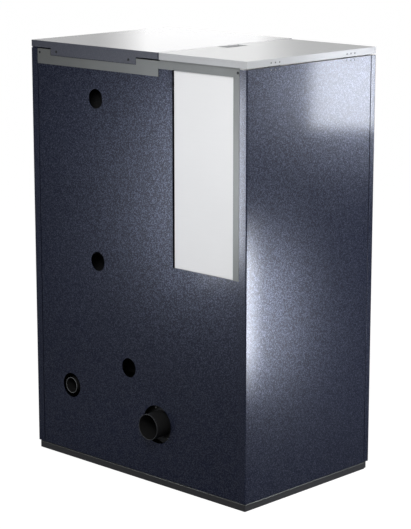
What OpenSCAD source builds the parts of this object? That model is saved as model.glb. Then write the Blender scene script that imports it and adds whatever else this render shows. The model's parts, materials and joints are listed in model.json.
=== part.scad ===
// Floor-standing wood-pellet boiler with a side hopper, seen as an assembly of its real pieces.
// Origin: on the floor under the middle of the casing. +X is the boiler side, -X the hopper side,
// -Y the front with the doors, +Y the rear with the pipe connections, +Z up. Millimetres.

/* [Casing] */
// Width over the two side panels
casing_w = 910; // [900:5:960]
// Depth from the hopper front to the rear panel
casing_d = 570; // [565:5:610]
// Height to the top of the lids
casing_h = 1320; // [1305:5:1380]
// Thickness of the casing sheet
sheet_t = 1.5; // [1.2:0.1:1.8]
// Width of the folded rear edge of a side panel
rear_flange_w = 28; // [24:1:32]
// Depth of the folded hopper front
front_d = 22; // [20:1:26]
// How far the boiler front stands ahead of the hopper front
front_step = 20; // [14:1:26]
// Depth of the folded boiler doors and panels
door_d = 40; // [38:1:42]
// Gap between neighbouring casing panels
panel_gap = 1; // [0.6:0.1:1.6]
// Outside radius of the folded edges
fold_r = 3; // [2.5:0.5:4]

/* [Plinth] */
// Height of the plinth tray
plinth_h = 21; // [18:1:24]
// How far the plinth stands back from the panels
plinth_inset = 4.5; // [3:0.5:6]
// How far the plinth stands back at the front
plinth_front_inset = 14; // [13:1:18]
// Height of the shadow gap above the plinth
plinth_gap = 4; // [3:0.5:6]
// Thickness of the kick plate under the front
kick_t = 10; // [8:1:12]

/* [Lids] */
// Height of the lid skirts
lid_h = 20; // [18:1:24]
// Gap under the lid skirts
lid_gap = 4; // [3.8:0.1:5]
// Distance of the seam between the two lids from the middle
seam = 104; // [102:1:108]
// Gap between the two lids
seam_gap = 1.5; // [1:0.1:2]
// Depth of the rear flap of the boiler cover below the lid
flap_drop = 21; // [20:1:24]
// Right end of the rear flap, from the middle
flap_x0 = -10; // [-14:1:-6]
// Left end of the rear flap
flap_x1 = 365; // [360:1:370]
// Length of the recessed grip in the hopper lid
grip_l = 94; // [80:1:110]
// Width of the recessed grip
grip_w = 46; // [42:1:47]
// Depth of the recessed grip
grip_depth = 14; // [12:1:15]
// Distance of the grip from the seam
grip_edge = 7; // [6:1:8]

/* [Lid hinges] */
// Distance of each hinge from the middle of the casing depth
hinge_y = 167; // [150:1:180]
// Length of a hinge
hinge_l = 54; // [50:1:60]
// Radius of the hinge pin
hinge_pin_r = 1.25; // [1:0.05:1.4]
// Radius of the hinge knuckle
knuckle_r = 2.2; // [2.1:0.05:2.3]
// Thickness of a hinge leaf
leaf_t = 1.2; // [1:0.1:1.3]
// Distance between the rivets of a hinge
rivet_pitch = 18; // [16:1:20]
// Radius of a rivet head
rivet_head_r = 2.7; // [2.4:0.1:3]

/* [Rear rail and window] */
// Height of the rail's lower edge below the lids' top
rail_drop = 70; // [66:1:76]
// Height of the rail over the window, below the lids' top
rail_window_drop = 46.5; // [44:0.5:50]
// Width of the upright leg of the rail
rail_leg_w = 23; // [20:1:26]
// Left edge of the window onto the hopper's rear wall
window_x = -159; // [-165:1:-155]
// Height of the window's lower edge
window_z = 689; // [670:1:700]
// Depth of the hopper wall behind the panel plane
window_recess = 6; // [5:0.5:8]
// Width of the dark gap beside the hopper wall
window_gap = 2.5; // [2:0.5:4]

/* [Hopper] */
// Clearance between the hopper and the side panel
hopper_side_gap = 13.5; // [12:0.5:18]
// Clearance between the hopper and the front frame
hopper_front_gap = 8; // [6:1:12]
// Thickness of the hopper sheet
hopper_t = 1.5; // [1.2:0.1:2]
// Height of the hopper rim over the casing top
hopper_rim = 12; // [10:1:14]
// Width of the rubber seal on the rim
seal_w = 8; // [6:1:9]
// Square tube of the hopper stand
stand_w = 20; // [18:1:25]
// Height of the hopper outlet
outlet_z = 430; // [425:1:445]
// Width of the hopper outlet
outlet_w = 66; // [60:1:68]
// Distance of the hopper outlet from the side panel
outlet_x = 145; // [140:1:150]
// Distance between the bars of the hopper guard
guard_pitch = 45; // [40:1:60]
// Thickness of the hopper guard
guard_t = 4; // [3:0.5:6]

/* [Pellet auger] */
// Distance of the burner and auger plane from the hopper front plane
burner_y = 235; // [230:1:240]
// Slope of the auger
auger_angle = 52; // [51:0.5:53]
// Length of the auger tube
auger_l = 430; // [425:1:440]
// Outside radius of the auger tube
auger_tube_r = 36; // [34:0.5:37]
// Wall of the auger tube and of the fall tube
tube_t = 3; // [2:0.5:4]
// Clearance between the screw and its tube
auger_gap = 2; // [1.5:0.5:3]
// Radius of the screw shaft
auger_shaft_r = 9; // [7:0.5:10]
// Pitch of the screw
auger_pitch = 50; // [40:1:60]
// Thickness of the screw flight
flight_t = 3; // [2:0.5:4]
// Outside radius of the fall tube
fall_r = 30; // [28:0.5:30]
// Running clearance of shafts in their bushes, on the radius
run_gap = 0.06; // [0.04:0.01:0.08]

/* [Boiler body] */
// Middle of the boiler body, from the middle of the casing
body_x = 166; // [164:1:168]
// Width of the boiler body
body_w = 352; // [350:1:358]
// Depth of the boiler body
body_d = 395; // [390:1:400]
// Distance of the boiler body behind the hopper front plane
body_y = 70; // [68:1:74]
// Height of the underside of the boiler body
body_z = 300; // [296:1:306]
// Distance of the boiler body's top below the lids' top
body_drop = 140; // [135:1:144]
// Thickness of the water jacket
jacket_t = 35; // [32:1:38]
// Depth of the combustion chamber
chamber_d = 200; // [196:1:204]
// Height of the turning chamber on top of the tubes
turn_h = 100; // [96:1:104]
// Height of the baffle's lugs above the body's underside
baffle_z = 510; // [490:5:520]
// Thickness of the flame baffle
baffle_t = 18; // [14:1:22]
// Gap between the flame baffle and the chamber's front wall
baffle_gap = 38; // [30:1:45]
// Width of the fire opening
fire_w = 240; // [220:5:250]
// Height of the fire opening
fire_h = 340; // [320:5:360]
// Height of the fire opening above the body's underside
fire_z = 120; // [110:5:130]
// Radius of a fire tube
fire_tube_r = 21; // [19:0.5:22]
// Distance between fire tubes, sideways
fire_pitch_x = 55; // [50:1:56]
// Distance between fire tubes, front to rear
fire_pitch_y = 48; // [46:1:50]
// Fire tubes in a row
fire_columns = 4; // [2:1:4]
// Thickness of the insulation blanket
blanket_t = 25; // [20:1:28]
// Wall of the ash housing and smoke box
housing_t = 4; // [3:0.5:5]
// Width of the smoke box
smoke_w = 265; // [262:1:268]
// Height of the smoke box underside
smoke_z = 120; // [100:5:125]

/* [Heat exchanger cleaning] */
// Height of the strips' lower ends above the body's underside
strip_end = 40; // [30:5:70]
// Width of a turbulator strip
strip_w = 34; // [30:1:35]
// Thickness of a turbulator strip
strip_t = 2; // [1.5:0.1:2.5]
// Turns of a turbulator strip
strip_turns = 3; // [2:1:4]
// Length of the lifting arms
arm_l = 70; // [68:1:72]
// Radius of the cleaning shaft
shaker_r = 8; // [7:0.5:9]
// Height of the turbulator yoke above the tube plate
yoke_z = 30; // [28:1:33]

/* [Rear connections] */
// Flow connection, sideways
flow_x = 167; // [160:1:175]
// Flow connection, distance below the body's top
flow_drop = 19; // [17:1:21]
// Return connection, sideways
return_x = 165; // [160:1:172]
// Return connection, height
return_z = 659; // [650:1:665]
// Drain connection, sideways
drain_x = 32; // [28:1:36]
// Drain connection, height
drain_z = 346; // [342:1:350]
// Diameter of the openings for the water connections
water_hole_d = 60; // [56:1:64]
// Bore radius of the G 1 sockets
socket_bore_r = 15.15; // [14:0.05:16]
// Outside radius of the G 1 sockets
socket_r = 21; // [19:0.5:22]
// How far the sockets end inside the rear panel
socket_back = 43; // [38:1:48]
// Air intake, sideways
intake_x = 293; // [290:1:296]
// Air intake, height
intake_z = 239.5; // [235:0.5:241]
// Diameter of the air intake opening
intake_hole_d = 78; // [70:1:84]
// Outside diameter of the air intake pipe
intake_d = 50; // [46:1:52]
// Flue, sideways
flue_x = -89; // [-91:1:-87]
// Flue, height
flue_z = 191; // [186:1:196]
// Diameter of the flue opening
flue_hole_d = 119; // [116:1:122]
// Outside diameter of the flue pipe
flue_d = 80; // [76:1:82]
// How far the flue pipe stands out of the rear panel
flue_out = 37; // [30:1:50]
// How far the flue flange lies inside the rear panel
flue_flange_back = 28; // [25:1:30]
// Distance of the flange screws from the flue axis
flange_screw_pcr = 52; // [51:0.5:54]
// Wall of the flue and intake pipes
pipe_t = 1.5; // [1.2:0.1:2]

/* [Smoke fan] */
// Width of the fan housing
fan_w = 78; // [76:1:80]
// Height of the fan axis above the flue axis
fan_rise = 49; // [48:1:51]
// Distance of the fan axis from the rear panel
fan_back = 190; // [185:1:195]
// Radius of the fan wheel
wheel_r = 58; // [50:1:60]
// Blades on the fan wheel
wheel_blades = 14; // [8:1:18]
// Radius of the fan inlet
inlet_r = 42; // [36:1:43]
// Radius of the fan motor
fan_motor_r = 38; // [34:1:42]

/* [Front] */
// Height of the top of the ash drawer front
drawer_top = 229; // [226:1:232]
// Height of the underside of the boiler door
door_z0 = 235; // [234:1:238]
// Height of the top of the boiler door
door_z1 = 900; // [890:5:910]
// Distance of the door hinge pin from the casing edge
door_pin_edge = 8; // [8:0.5:10]
// Radius of the door hinge pins
door_pin_r = 4; // [3:0.5:5]
// Height of the door handle spindle
latch_z = 570; // [540:5:600]
// Width of the display
display_w = 200; // [180:5:220]
// Height of the display
display_h = 100; // [90:5:110]
// Height of the middle of the display below the lids' top
display_drop = 140; // [120:5:160]
// Gap between the control box and the display
control_gap = 55; // [50:1:65]
// Travel of the ash drawer
drawer_travel = 260; // [200:10:280]
// Wall of the ash drawer
drawer_t = 1.5; // [1:0.1:2]

/* [Hidden] */
$fn = 48;
fold_n = 5;
eps = 0.01;
seat = 0.3;
x_l = casing_w / 2;
x_r = -casing_w / 2;
y_b = casing_d / 2;
y_f = -casing_d / 2;
y_door = y_f - front_step;
y_door_back = y_door + door_d;
y_side = y_f + front_d;
y_panel = y_b - 2 * sheet_t;
z_skirt = casing_h - lid_h;
z_casing = z_skirt - lid_gap;
z_low = plinth_h + plinth_gap;
x_seam = -seam;
x_panel = x_l - rear_flange_w - panel_gap;
side_flange = 20;
upstand_gap = 0.5;
top_flange = 14;
screw_r = 1.9;
screw_head_r = 4;
screw_head_h = 1.6;
rail_z = casing_h - rail_drop;
rail_window_z = casing_h - rail_window_drop;
rail_tab_x = x_panel;
rail_leg_x = -x_panel + rail_leg_w;
rail_tab_screw = [rail_tab_x - 10, casing_h - 36];
rail_leg_screw = [-rail_tab_x + 6, casing_h - 34];
flap_screw_z = casing_h - 30;
flap_screw_x0 = flap_x0 + 31.5;
flap_screw_x1 = flap_x1 - 25.5;
flap_z = z_skirt - flap_drop;

hopper_x0 = x_r + sheet_t + hopper_side_gap;
hopper_x1 = window_x - window_gap;
frame_y = y_side + 2;
frame_depth = 22;
hopper_y0 = frame_y + sheet_t + hopper_front_gap;
hopper_y1 = y_b - window_recess;
hopper_top = z_casing + hopper_rim;
hopper_flange_y1 = y_panel - 1;
stand_z1 = window_z - hopper_t;
funnel_ledge = 8;
outlet_mid = x_r + outlet_x;
y_burner = y_f + burner_y;

auger_a = [outlet_mid - 35, y_burner, outlet_z - 160];
auger_in_r = auger_tube_r - tube_t;
auger_r = auger_in_r - auger_gap;
auger_out = auger_l - 35;
auger_dir = [cos(auger_angle), 0, sin(auger_angle)];
chute_w = outlet_w + 2 * tube_t;
chute_flange = 12;
gearbox_w = 64;
gearbox_l = 60;
bush_r = 14;
fall_q = auger_a + auger_out * auger_dir;
fall_angle = 45;

body_x0 = body_x - body_w / 2;
body_x1 = body_x + body_w / 2;
body_y0 = y_f + body_y;
body_y1 = body_y0 + body_d;
body_top = casing_h - body_drop;
body_h = body_top - body_z;
flow_z = body_top - flow_drop;
jacket_side = jacket_t + 5;
chamber_y0 = body_y0 + jacket_t;
chamber_y1 = chamber_y0 + chamber_d;
tube_plate_z = body_top - turn_h;
turn_wall = 20;
tube_x0 = body_x0 + 50;
tube_y0 = body_y1 - 108;
fire_x0 = body_x - fire_w / 2;
lug_z = body_z + baffle_z;
lug_r = 6;
smoke_y0 = body_y1 - 135;
smoke_y1 = body_y1 - 15;
smoke_x1 = body_x0 + smoke_w;
ash_y1 = body_y0 + 250;
fall_end_x = body_x - 61;

yoke_z0 = tube_plate_z + yoke_z;
strip_l = yoke_z0 - body_z - strip_end;
yoke_t = 8;
shaft_y = tube_y0 - 22 - arm_l;
roller_r = 8;
shaft_z = yoke_z0 - roller_r - 0.5;
shaker_turn = 30;
shaker_motor_l = 60;

flue_flange_y = y_b - flue_flange_back;
gasket_t = 2;
fan_wall = 2;
fan_x0 = flue_x - fan_w / 2;
fan_x1 = flue_x + fan_w / 2;
fan_y = y_b - fan_back;
fan_z = flue_z + fan_rise;
fan_r0 = wheel_r + 8;
fan_bottom = flue_z - fan_w / 2;
fan_r1 = fan_z - fan_bottom;
fan_flange_y = flue_flange_y - gasket_t - 3;
fan_shaft_r = 5;

intake_r = intake_d / 2;
air_box_z0 = intake_z - 49.5;
air_box_z1 = intake_z + 30.5;
air_box_x0 = body_x - 60;
air_box_half = 45;
air_box_t = 2;
pot_h = 70;
pot_z = air_box_z1;

door_x0 = x_seam + 3;
door_x1 = x_l - panel_gap;
door_pin = [x_l - door_pin_edge, y_door + 7];
panel_z0 = door_z1 + 5;
plate_y0 = y_door_back + 2;
plate_y1 = body_y0 - 6;
plate_margin = 26;
latch_x = door_x0 + 43;
frame_gap_x0 = x_seam + 30;
frame_gap_x1 = x_l - 30;
display_x = body_x + 24;
display_z = casing_h - display_drop;
control_z0 = panel_z0 + 30;
control_z1 = display_z - display_h / 2 - control_gap;
control_rim = (control_z1 - control_z0) / 7;
switch_w = 26;
switch_h = 30;
switch_x = display_x + display_w / 2 - 10 - switch_w / 2;
switch_tilt = 8;
drawer_x0 = body_x0 + housing_t + 4;
drawer_x1 = body_x1 - housing_t - 4;
drawer_z0 = z_low + 20;
drawer_z1 = drawer_z0 + 105;
drawer_y1 = ash_y1 - housing_t - 6;
hinge_x = x_r + 4;
hinge_z = z_skirt + 1;
lid_z = casing_h - sheet_t;

// Points and shapes that repeat

function arc(cx, cy, r, a0, a1) =
    [for (i = [0:fold_n]) let (a = a0 + (a1 - a0) * i / fold_n) [cx + r * cos(a), cy + r * sin(a)]];

function rounded(x0, y0, x1, y1, r) = concat(
    arc(x1 - r, y1 - r, r, 0, 90), arc(x0 + r, y1 - r, r, 90, 180),
    arc(x0 + r, y0 + r, r, 180, 270), arc(x1 - r, y0 + r, r, 270, 360));

function front_rounded(x0, y0, x1, y1, r) = concat(
    [[x1, y1], [x0, y1]], arc(x0 + r, y0 + r, r, 180, 270), arc(x1 - r, y0 + r, r, 270, 360));

module block(x0, x1, y0, y1, z0, z1) {
    translate([x0, y0, z0]) cube([x1 - x0, y1 - y0, z1 - z0]);
}

// A profile in plan, raised from z0 to z1
module plan(z0, z1) {
    translate([0, 0, z0]) linear_extrude(z1 - z0) children();
}

// A profile of width and height, running from y0 to y1
module along_y(y0, y1) {
    translate([0, y1, 0]) rotate([90, 0, 0]) linear_extrude(y1 - y0) children();
}

// A profile of depth and height, running from x0 to x1
module along_x(x0, x1) {
    translate([x0, 0, 0]) rotate([90, 0, 90]) linear_extrude(x1 - x0) children();
}

module rod_y(x, z, r, y0, y1) {
    translate([x, y1, z]) rotate([90, 0, 0]) cylinder(r = r, h = y1 - y0);
}

module rod_x(y, z, r, x0, x1) {
    translate([x0, y, z]) rotate([0, 90, 0]) cylinder(r = r, h = x1 - x0);
}

// Folded sheet tray that is open to the rear, with rounded front edges
module folded_tray(x0, x1, y0, y1, z0, z1) {
    difference() {
        plan(z0, z1) polygon(front_rounded(x0, y0, x1, y1, fold_r));
        plan(z0 + sheet_t, z1 - sheet_t) polygon(front_rounded(
            x0 + sheet_t, y0 + sheet_t, x1 - sheet_t, y1 + 1, fold_r - sheet_t));
    }
}

// Frame of the auger: z runs up along the screw from its lower end
module on_auger() {
    translate(auger_a) rotate([0, 90 - auger_angle, 0]) children();
}

// Frame of the fall tube: z runs down towards the burner
module on_fall() {
    translate(fall_q) rotate([0, 90 + fall_angle, 0]) children();
}

// Casing

module base_plinth() {
    color("#15161a") difference() {
        block(x_r + plinth_inset, x_l - plinth_inset, y_f + plinth_front_inset, y_b - plinth_inset, 0, plinth_h);
        block(x_r + plinth_inset + 2, x_l - plinth_inset - 2, y_f + plinth_front_inset + 2,
            y_b - plinth_inset - 2, 2, plinth_h - 2);
        block(x_r + 30, x_l - 30, y_f + 40, y_b - 30, plinth_h - 3, plinth_h + 1);
    }
}

module base_plate() {
    color("#1b1c20") difference() {
        block(x_r + 9, x_l - 9, y_f + 9, y_b - 9, plinth_h, z_low);
        for (x = [x_r + 60, x_l - 60], y = [y_f + 60, y_b - 60])
            translate([x, y, plinth_h - 1]) cylinder(r = 12, h = plinth_gap + 2);
    }
}

module front_kick_plate() {
    color("#0e0f12") block(x_r + 7, x_l - 7, y_f + plinth_front_inset - kick_t, y_f + plinth_front_inset,
        1, plinth_h);
}

// Side panel at +X: a sheet with folded front, rear, top and bottom edges
module side_panel_shape(notches) {
    outline = concat(
        [[x_l - side_flange, y_side]], arc(x_l - fold_r, y_side + fold_r, fold_r, 270, 360),
        arc(x_l - fold_r, y_b - fold_r, fold_r, 0, 90), [[x_l - rear_flange_w, y_b]],
        [[x_l - rear_flange_w, y_b - sheet_t]], arc(x_l - fold_r, y_b - fold_r, fold_r - sheet_t, 90, 0),
        arc(x_l - fold_r, y_side + fold_r, fold_r - sheet_t, 360, 270),
        [[x_l - side_flange, y_side + sheet_t]]);
    difference() {
        union() {
            plan(z_low, z_casing) polygon(outline);
            block(x_l - side_flange, x_l - sheet_t / 2, y_side + sheet_t / 2, y_b - sheet_t / 2,
                z_low, z_low + sheet_t);
            block(x_l - top_flange, x_l - sheet_t / 2, y_side + sheet_t / 2, y_b - sheet_t / 2,
                z_casing - sheet_t, z_casing);
        }
        if (notches)
            for (y = [-hinge_y, hinge_y]) {
                block(x_l - top_flange - 1, x_l - sheet_t, y - hinge_l / 2 - 2, y + hinge_l / 2 + 2,
                    z_casing - 3 * sheet_t, z_casing + 1);
                for (i = [-1:1])
                    rod_x(y + i * rivet_pitch, casing_h - 31, 1.55, x_l - 10, x_l + 1);
            }
    }
}

// The panel under the fixed cover has an upstand behind the cover's skirt
module side_panel_left() {
    color("#1d2134") {
        side_panel_shape(false);
        block(x_l - 2 * sheet_t - upstand_gap, x_l - sheet_t - upstand_gap, y_side + 30,
            y_b - 2 * sheet_t + 0.2, z_casing - sheet_t, z_skirt + 8);
        block(x_l - rear_flange_w + 1, x_l - 2 * sheet_t + 0.2, y_b - 2 * sheet_t - upstand_gap,
            y_b - sheet_t - upstand_gap, z_casing - sheet_t, z_skirt + 8);
    }
}

module side_panel_right() { color("#1d2134") mirror([1, 0, 0]) side_panel_shape(true); }

// L-shaped rear panel round the window, with the openings for the connections
module rear_panel() {
    color("#1d2134") difference() {
        union() {
            along_y(y_panel, y_b - sheet_t) polygon([[x_panel, z_low], [x_panel, z_casing - 2],
                [window_x, z_casing - 2], [window_x, window_z], [-x_panel, window_z], [-x_panel, z_low]]);
            block(x_panel - sheet_t, x_panel, y_b - 12, y_panel + sheet_t / 2, z_low, z_casing - 2);
            block(-x_panel, -x_panel + sheet_t, y_b - 12, y_panel + sheet_t / 2, z_low, stand_z1 - 1);
            block(-x_panel, x_panel, y_b - 12, y_panel + sheet_t / 2, z_low, z_low + sheet_t);
        }
        for (p = [[flow_x, flow_z], [return_x, return_z], [drain_x, drain_z]])
            rod_y(p[0], p[1], water_hole_d / 2, y_b - 8, y_b + 1);
        rod_y(intake_x, intake_z, intake_hole_d / 2, y_b - 8, y_b + 1);
        rod_y(flue_x, flue_z, flue_hole_d / 2, y_b - 8, y_b + 1);
        for (x = [flap_screw_x0, flap_screw_x1]) rod_y(x, flap_screw_z, screw_r + 0.1, y_b - 8, y_b + 1);
        rod_y(rail_tab_screw[0], rail_tab_screw[1], screw_r + 0.1, y_b - 8, y_b + 1);
    }
}

// Bare metal rail over the top of the rear panel, with a leg down beside the window
// The rail has an upstand behind the rear skirt of the hopper lid
module rear_rail() {
    y_up = y_b - sheet_t - upstand_gap;
    color("#7e817f") {
        block(-rail_tab_x + 2, x_seam - 5, y_up - sheet_t, y_up, z_casing - sheet_t, z_skirt + sheet_t);
        block(-rail_tab_x + 2, x_seam - 5, y_up - sheet_t, y_b - sheet_t / 2, z_casing - sheet_t, z_casing);
    }
    color("#7e817f") difference() {
        along_y(y_b - sheet_t, y_b) polygon([
            [rail_tab_x, rail_z], [rail_tab_x, z_casing], [flap_x1 + 1.5, z_casing],
            [flap_x1 + 1.5, flap_z - 1.5], [flap_x0 - 1.5, flap_z - 1.5], [flap_x0 - 1.5, z_casing],
            [-rail_tab_x, z_casing], [-rail_tab_x, window_z], [rail_leg_x, window_z],
            [rail_leg_x, rail_window_z], [x_seam, rail_window_z], [x_seam, rail_z]]);
        for (p = [rail_tab_screw, rail_leg_screw]) rod_y(p[0], p[1], screw_r + 0.1, y_b - 8, y_b + 1);
    }
}

module pan_screw(x, z, y, grip) {
    rod_y(x, z, screw_r, y - grip, y + screw_head_h / 2);
    translate([x, y, z]) rotate([-90, 0, 0]) rotate_extrude() polygon(concat(
        [[0, 0], [screw_head_r, 0], [screw_head_r, screw_head_h / 2]],
        [[screw_head_r * 0.8, screw_head_h * 0.9], [screw_head_r * 0.35, screw_head_h]],
        [[screw_head_r * 0.35, screw_head_h * 0.5], [0, screw_head_h * 0.5]]));
}

module casing_screws() {
    color("#c9cbcc") {
        for (x = [flap_screw_x0, flap_screw_x1]) pan_screw(x, flap_screw_z, y_b, 8);
        for (p = [rail_tab_screw, rail_leg_screw]) pan_screw(p[0], p[1], y_b, 5);
    }
}

// Folded lid or cover: an upturned tray with rounded corners
module lid_tray(x0, x1, y0) {
    difference() {
        plan(z_skirt, casing_h) polygon(rounded(x0, y0, x1, y_b, fold_r));
        plan(z_skirt - 1, lid_z) polygon(rounded(x0 + sheet_t, y0 + sheet_t, x1 - sheet_t, y_b - sheet_t,
            fold_r - sheet_t));
    }
}

module top_cover() {
    color("#22263a") difference() {
        union() {
            lid_tray(x_seam + seam_gap / 2, x_l, y_door);
            block(flap_x0, flap_x1, y_b - sheet_t, y_b, flap_z, z_skirt + 2);
        }
        for (x = [flap_screw_x0, flap_screw_x1]) rod_y(x, flap_screw_z, screw_r + 0.1, y_b - 8, y_b + 1);
    }
}

module hopper_front_panel() {
    color("#1d2134") folded_tray(x_r, x_seam - 1, y_f, y_side - panel_gap / 2, z_low, z_casing);
}

// Welded sheet frame behind the doors, with the latch lip at the left of the door opening
module front_frame() {
    color("#3a3c42") difference() {
        front_frame_shape();
        block(x_l - side_flange - seat, x_l, frame_y - 1, frame_y + frame_depth + 1, z_low - 1,
            z_low + sheet_t + seat);
    }
}

module front_frame_shape() {
    union() {
        along_y(frame_y, frame_y + sheet_t) difference() {
            polygon([[x_seam, z_low], [x_l - 5, z_low], [x_l - 5, z_casing - 4], [x_seam, z_casing - 4]]);
            polygon([[frame_gap_x0, z_low + 14], [frame_gap_x1, z_low + 14],
                [frame_gap_x1, door_z1 - 8], [frame_gap_x0, door_z1 - 8]]);
            polygon([[frame_gap_x0, door_z1 + 12], [frame_gap_x1, door_z1 + 12],
                [frame_gap_x1, z_casing - 30], [frame_gap_x0, z_casing - 30]]);
        }
        plan(z_low, z_casing - 4) {
            polygon([[x_l - 5, frame_y + sheet_t / 2], [x_l - 5, frame_y + frame_depth],
                [x_l - 5 - sheet_t, frame_y + frame_depth], [x_l - 5 - sheet_t, frame_y + sheet_t / 2]]);
        }
    }
}

module boiler_front_panel() {
    color("#1d2134") difference() {
        union() {
            folded_tray(door_x0, door_x1, y_door, y_door_back, panel_z0, z_casing);
            for (x = [frame_gap_x0 - 18, frame_gap_x1 + 5], z = [panel_z0 + 35, z_casing - 50])
                rod_y(x, z, 4, y_door + sheet_t / 2, frame_y - seat);
        }
        block(display_x - display_w / 2 + 4, display_x + display_w / 2 - 4, y_door - 1, y_door + 5,
            display_z - display_h / 2 + 4, display_z + display_h / 2 - 4);
    }
}

// Bezel of the display with the pocket for the glass and the switch
module display_housing() {
    color("#17181b") difference() {
        union() {
            along_y(y_door - 4, y_door) polygon(rounded(display_x - display_w / 2, display_z - display_h / 2,
                display_x + display_w / 2, display_z + display_h / 2, 6));
            block(display_x - display_w / 2 + 5, display_x + display_w / 2 - 5, y_door - 1, y_door + 20,
                display_z - display_h / 2 + 5, display_z + display_h / 2 - 5);
        }
        block(display_x - display_w / 2 + 9, switch_x - switch_w / 2 - 10, y_door - 5, y_door - 2,
            display_z - display_h / 2 + 9, display_z + display_h / 2 - 9);
        block(switch_x - switch_w / 2, switch_x + switch_w / 2, y_door - 5, y_door + 16,
            display_z - switch_h / 2, display_z + switch_h / 2);
        rod_x(y_door + 4, display_z, 2 + run_gap, switch_x - switch_w / 2 - 3, switch_x + switch_w / 2 + 3);
    }
}

module display_glass() {
    color("#050608") block(display_x - display_w / 2 + 9.5, switch_x - switch_w / 2 - 10.5, y_door - 4.4,
        y_door - 2, display_z - display_h / 2 + 9.5, display_z + display_h / 2 - 9.5);
}

module control_box() {
    color("#2c2d31") difference() {
        block(display_x - 90, display_x + 90, y_door + sheet_t, y_door_back - 3, control_z0, control_z1);
        for (i = [0:7])
            block(display_x - 70 + i * 20, display_x - 62 + i * 20, y_door_back - 6, y_door_back,
                control_z0 + control_rim, control_z1 - control_rim);
    }
}

// Hopper

module hopper_stand() {
    inner = stand_w;
    x0 = hopper_x0;
    x1 = hopper_x1;
    y1 = y_b - 14;
    color("#33353a") difference() {
        union() {
            block(x0, x1, hopper_y0, y1, stand_z1 - stand_w, stand_z1);
            for (x = [x0, x1 - stand_w], y = [hopper_y0, y1 - stand_w])
                block(x, x + stand_w, y, y + stand_w, z_low, stand_z1 - stand_w + 1);
        }
        block(x0 + inner, x1 - inner, hopper_y0 + inner, hopper_y1 - inner, stand_z1 - stand_w - 1,
            stand_z1 + 1);
        block(x0 - 1, x_r + side_flange + seat, hopper_y0 - 1, y1 + 1, z_low - 1, z_low + sheet_t + seat);
    }
}

module hopper_tank() {
    color("#e4e6e7") {
        difference() {
            plan(window_z, hopper_top) polygon(rounded(hopper_x0, hopper_y0, hopper_x1, hopper_y1, fold_r));
            plan(window_z - 1, hopper_top + 1) polygon(rounded(hopper_x0 + hopper_t, hopper_y0 + hopper_t,
                hopper_x1 - hopper_t, hopper_y1 - hopper_t, fold_r - hopper_t));
        }
        difference() {
            block(hopper_x0 + eps, x_seam - 3, frame_y + sheet_t + 1, hopper_flange_y1,
                z_casing - hopper_t, z_casing);
            block(hopper_x0, hopper_x1 - hopper_t / 2, hopper_y0 + hopper_t / 2, hopper_y1 - hopper_t / 2,
                z_casing - 5, z_casing + 5);
        }
    }
}

// Tapered hopper bottom, hung in the stand by its rim
module hopper_funnel() {
    ledge = hopper_t + funnel_ledge;
    color("#c6c8c9") difference() {
        union() {
            block(hopper_x0, hopper_x1, hopper_y0, hopper_y1, stand_z1, window_z);
            hull() {
                block(hopper_x0 + stand_w + 0.5, hopper_x1 - stand_w - 0.5, hopper_y0 + stand_w + 0.5,
                    hopper_y1 - stand_w - 0.5, stand_z1 - 1, window_z);
                block(outlet_mid - chute_w / 2, outlet_mid + chute_w / 2, y_burner - chute_w / 2,
                    y_burner + chute_w / 2, outlet_z + 2, outlet_z + 12);
            }
            block(outlet_mid - chute_w / 2 - chute_flange, outlet_mid + chute_w / 2 + chute_flange,
                y_burner - chute_w / 2 - chute_flange, y_burner + chute_w / 2 + chute_flange,
                outlet_z, outlet_z + 3);
        }
        hull() {
            block(hopper_x0 + stand_w + 3, hopper_x1 - stand_w - 3, hopper_y0 + stand_w + 3,
                hopper_y1 - stand_w - 3, stand_z1 - 1, window_z + 1);
            block(outlet_mid - outlet_w / 2, outlet_mid + outlet_w / 2, y_burner - outlet_w / 2,
                y_burner + outlet_w / 2, outlet_z - 1, outlet_z + 12);
        }
        on_auger() cylinder(r = auger_tube_r + seat, h = auger_l);
    }
}

// Flat guard over the funnel that keeps hands off the screw
module hopper_guard() {
    x0 = hopper_x0 + hopper_t + 0.5;
    x1 = hopper_x1 - hopper_t - 0.5;
    y0 = hopper_y0 + hopper_t + 0.5;
    y1 = hopper_y1 - hopper_t - 0.5;
    bars = floor((y1 - y0 - 30) / guard_pitch);
    start = (y0 + y1 - bars * guard_pitch) / 2;
    color("#9c9fa1") difference() {
        block(x0, x1, y0, y1, window_z, window_z + guard_t);
        for (i = [0:bars - 1])
            block(x0 + 14, x1 - 14, start + i * guard_pitch + 5, start + (i + 1) * guard_pitch - 5,
                window_z - 1, window_z + guard_t + 1);
    }
}

// Rubber seal pushed over the hopper rim, just under the lid
module hopper_seal() {
    grip = (seal_w - hopper_t) / 2;
    color("#222326") difference() {
        block(hopper_x0 - grip, hopper_x1 + grip, hopper_y0 - grip, hopper_y1 + grip,
            hopper_top - 6, lid_z - seat);
        plan(hopper_top - 7, hopper_top) polygon(rounded(hopper_x0 - eps, hopper_y0 - eps,
            hopper_x1 + eps, hopper_y1 + eps, fold_r));
        block(hopper_x0 + hopper_t + grip, hopper_x1 - hopper_t - grip, hopper_y0 + hopper_t + grip,
            hopper_y1 - hopper_t - grip, hopper_top - 1, casing_h);
    }
}

// Lid hinges

// One rivet through a sheet and a leaf, axis along X, head at x
module rivet(y, z, x) {
    translate([x, y, z]) rotate([0, 90, 0]) rotate_extrude() polygon(concat(
        [[0, sheet_t + leaf_t + 0.8], [rivet_head_r - 0.6, sheet_t + leaf_t + 0.8],
        [rivet_head_r - 0.6, sheet_t + leaf_t], [1.5, sheet_t + leaf_t], [1.5, 0], [rivet_head_r, 0]],
        [for (a = [15:15:75]) [rivet_head_r * cos(a), -sin(a)]], [[0, -1]]));
}

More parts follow.
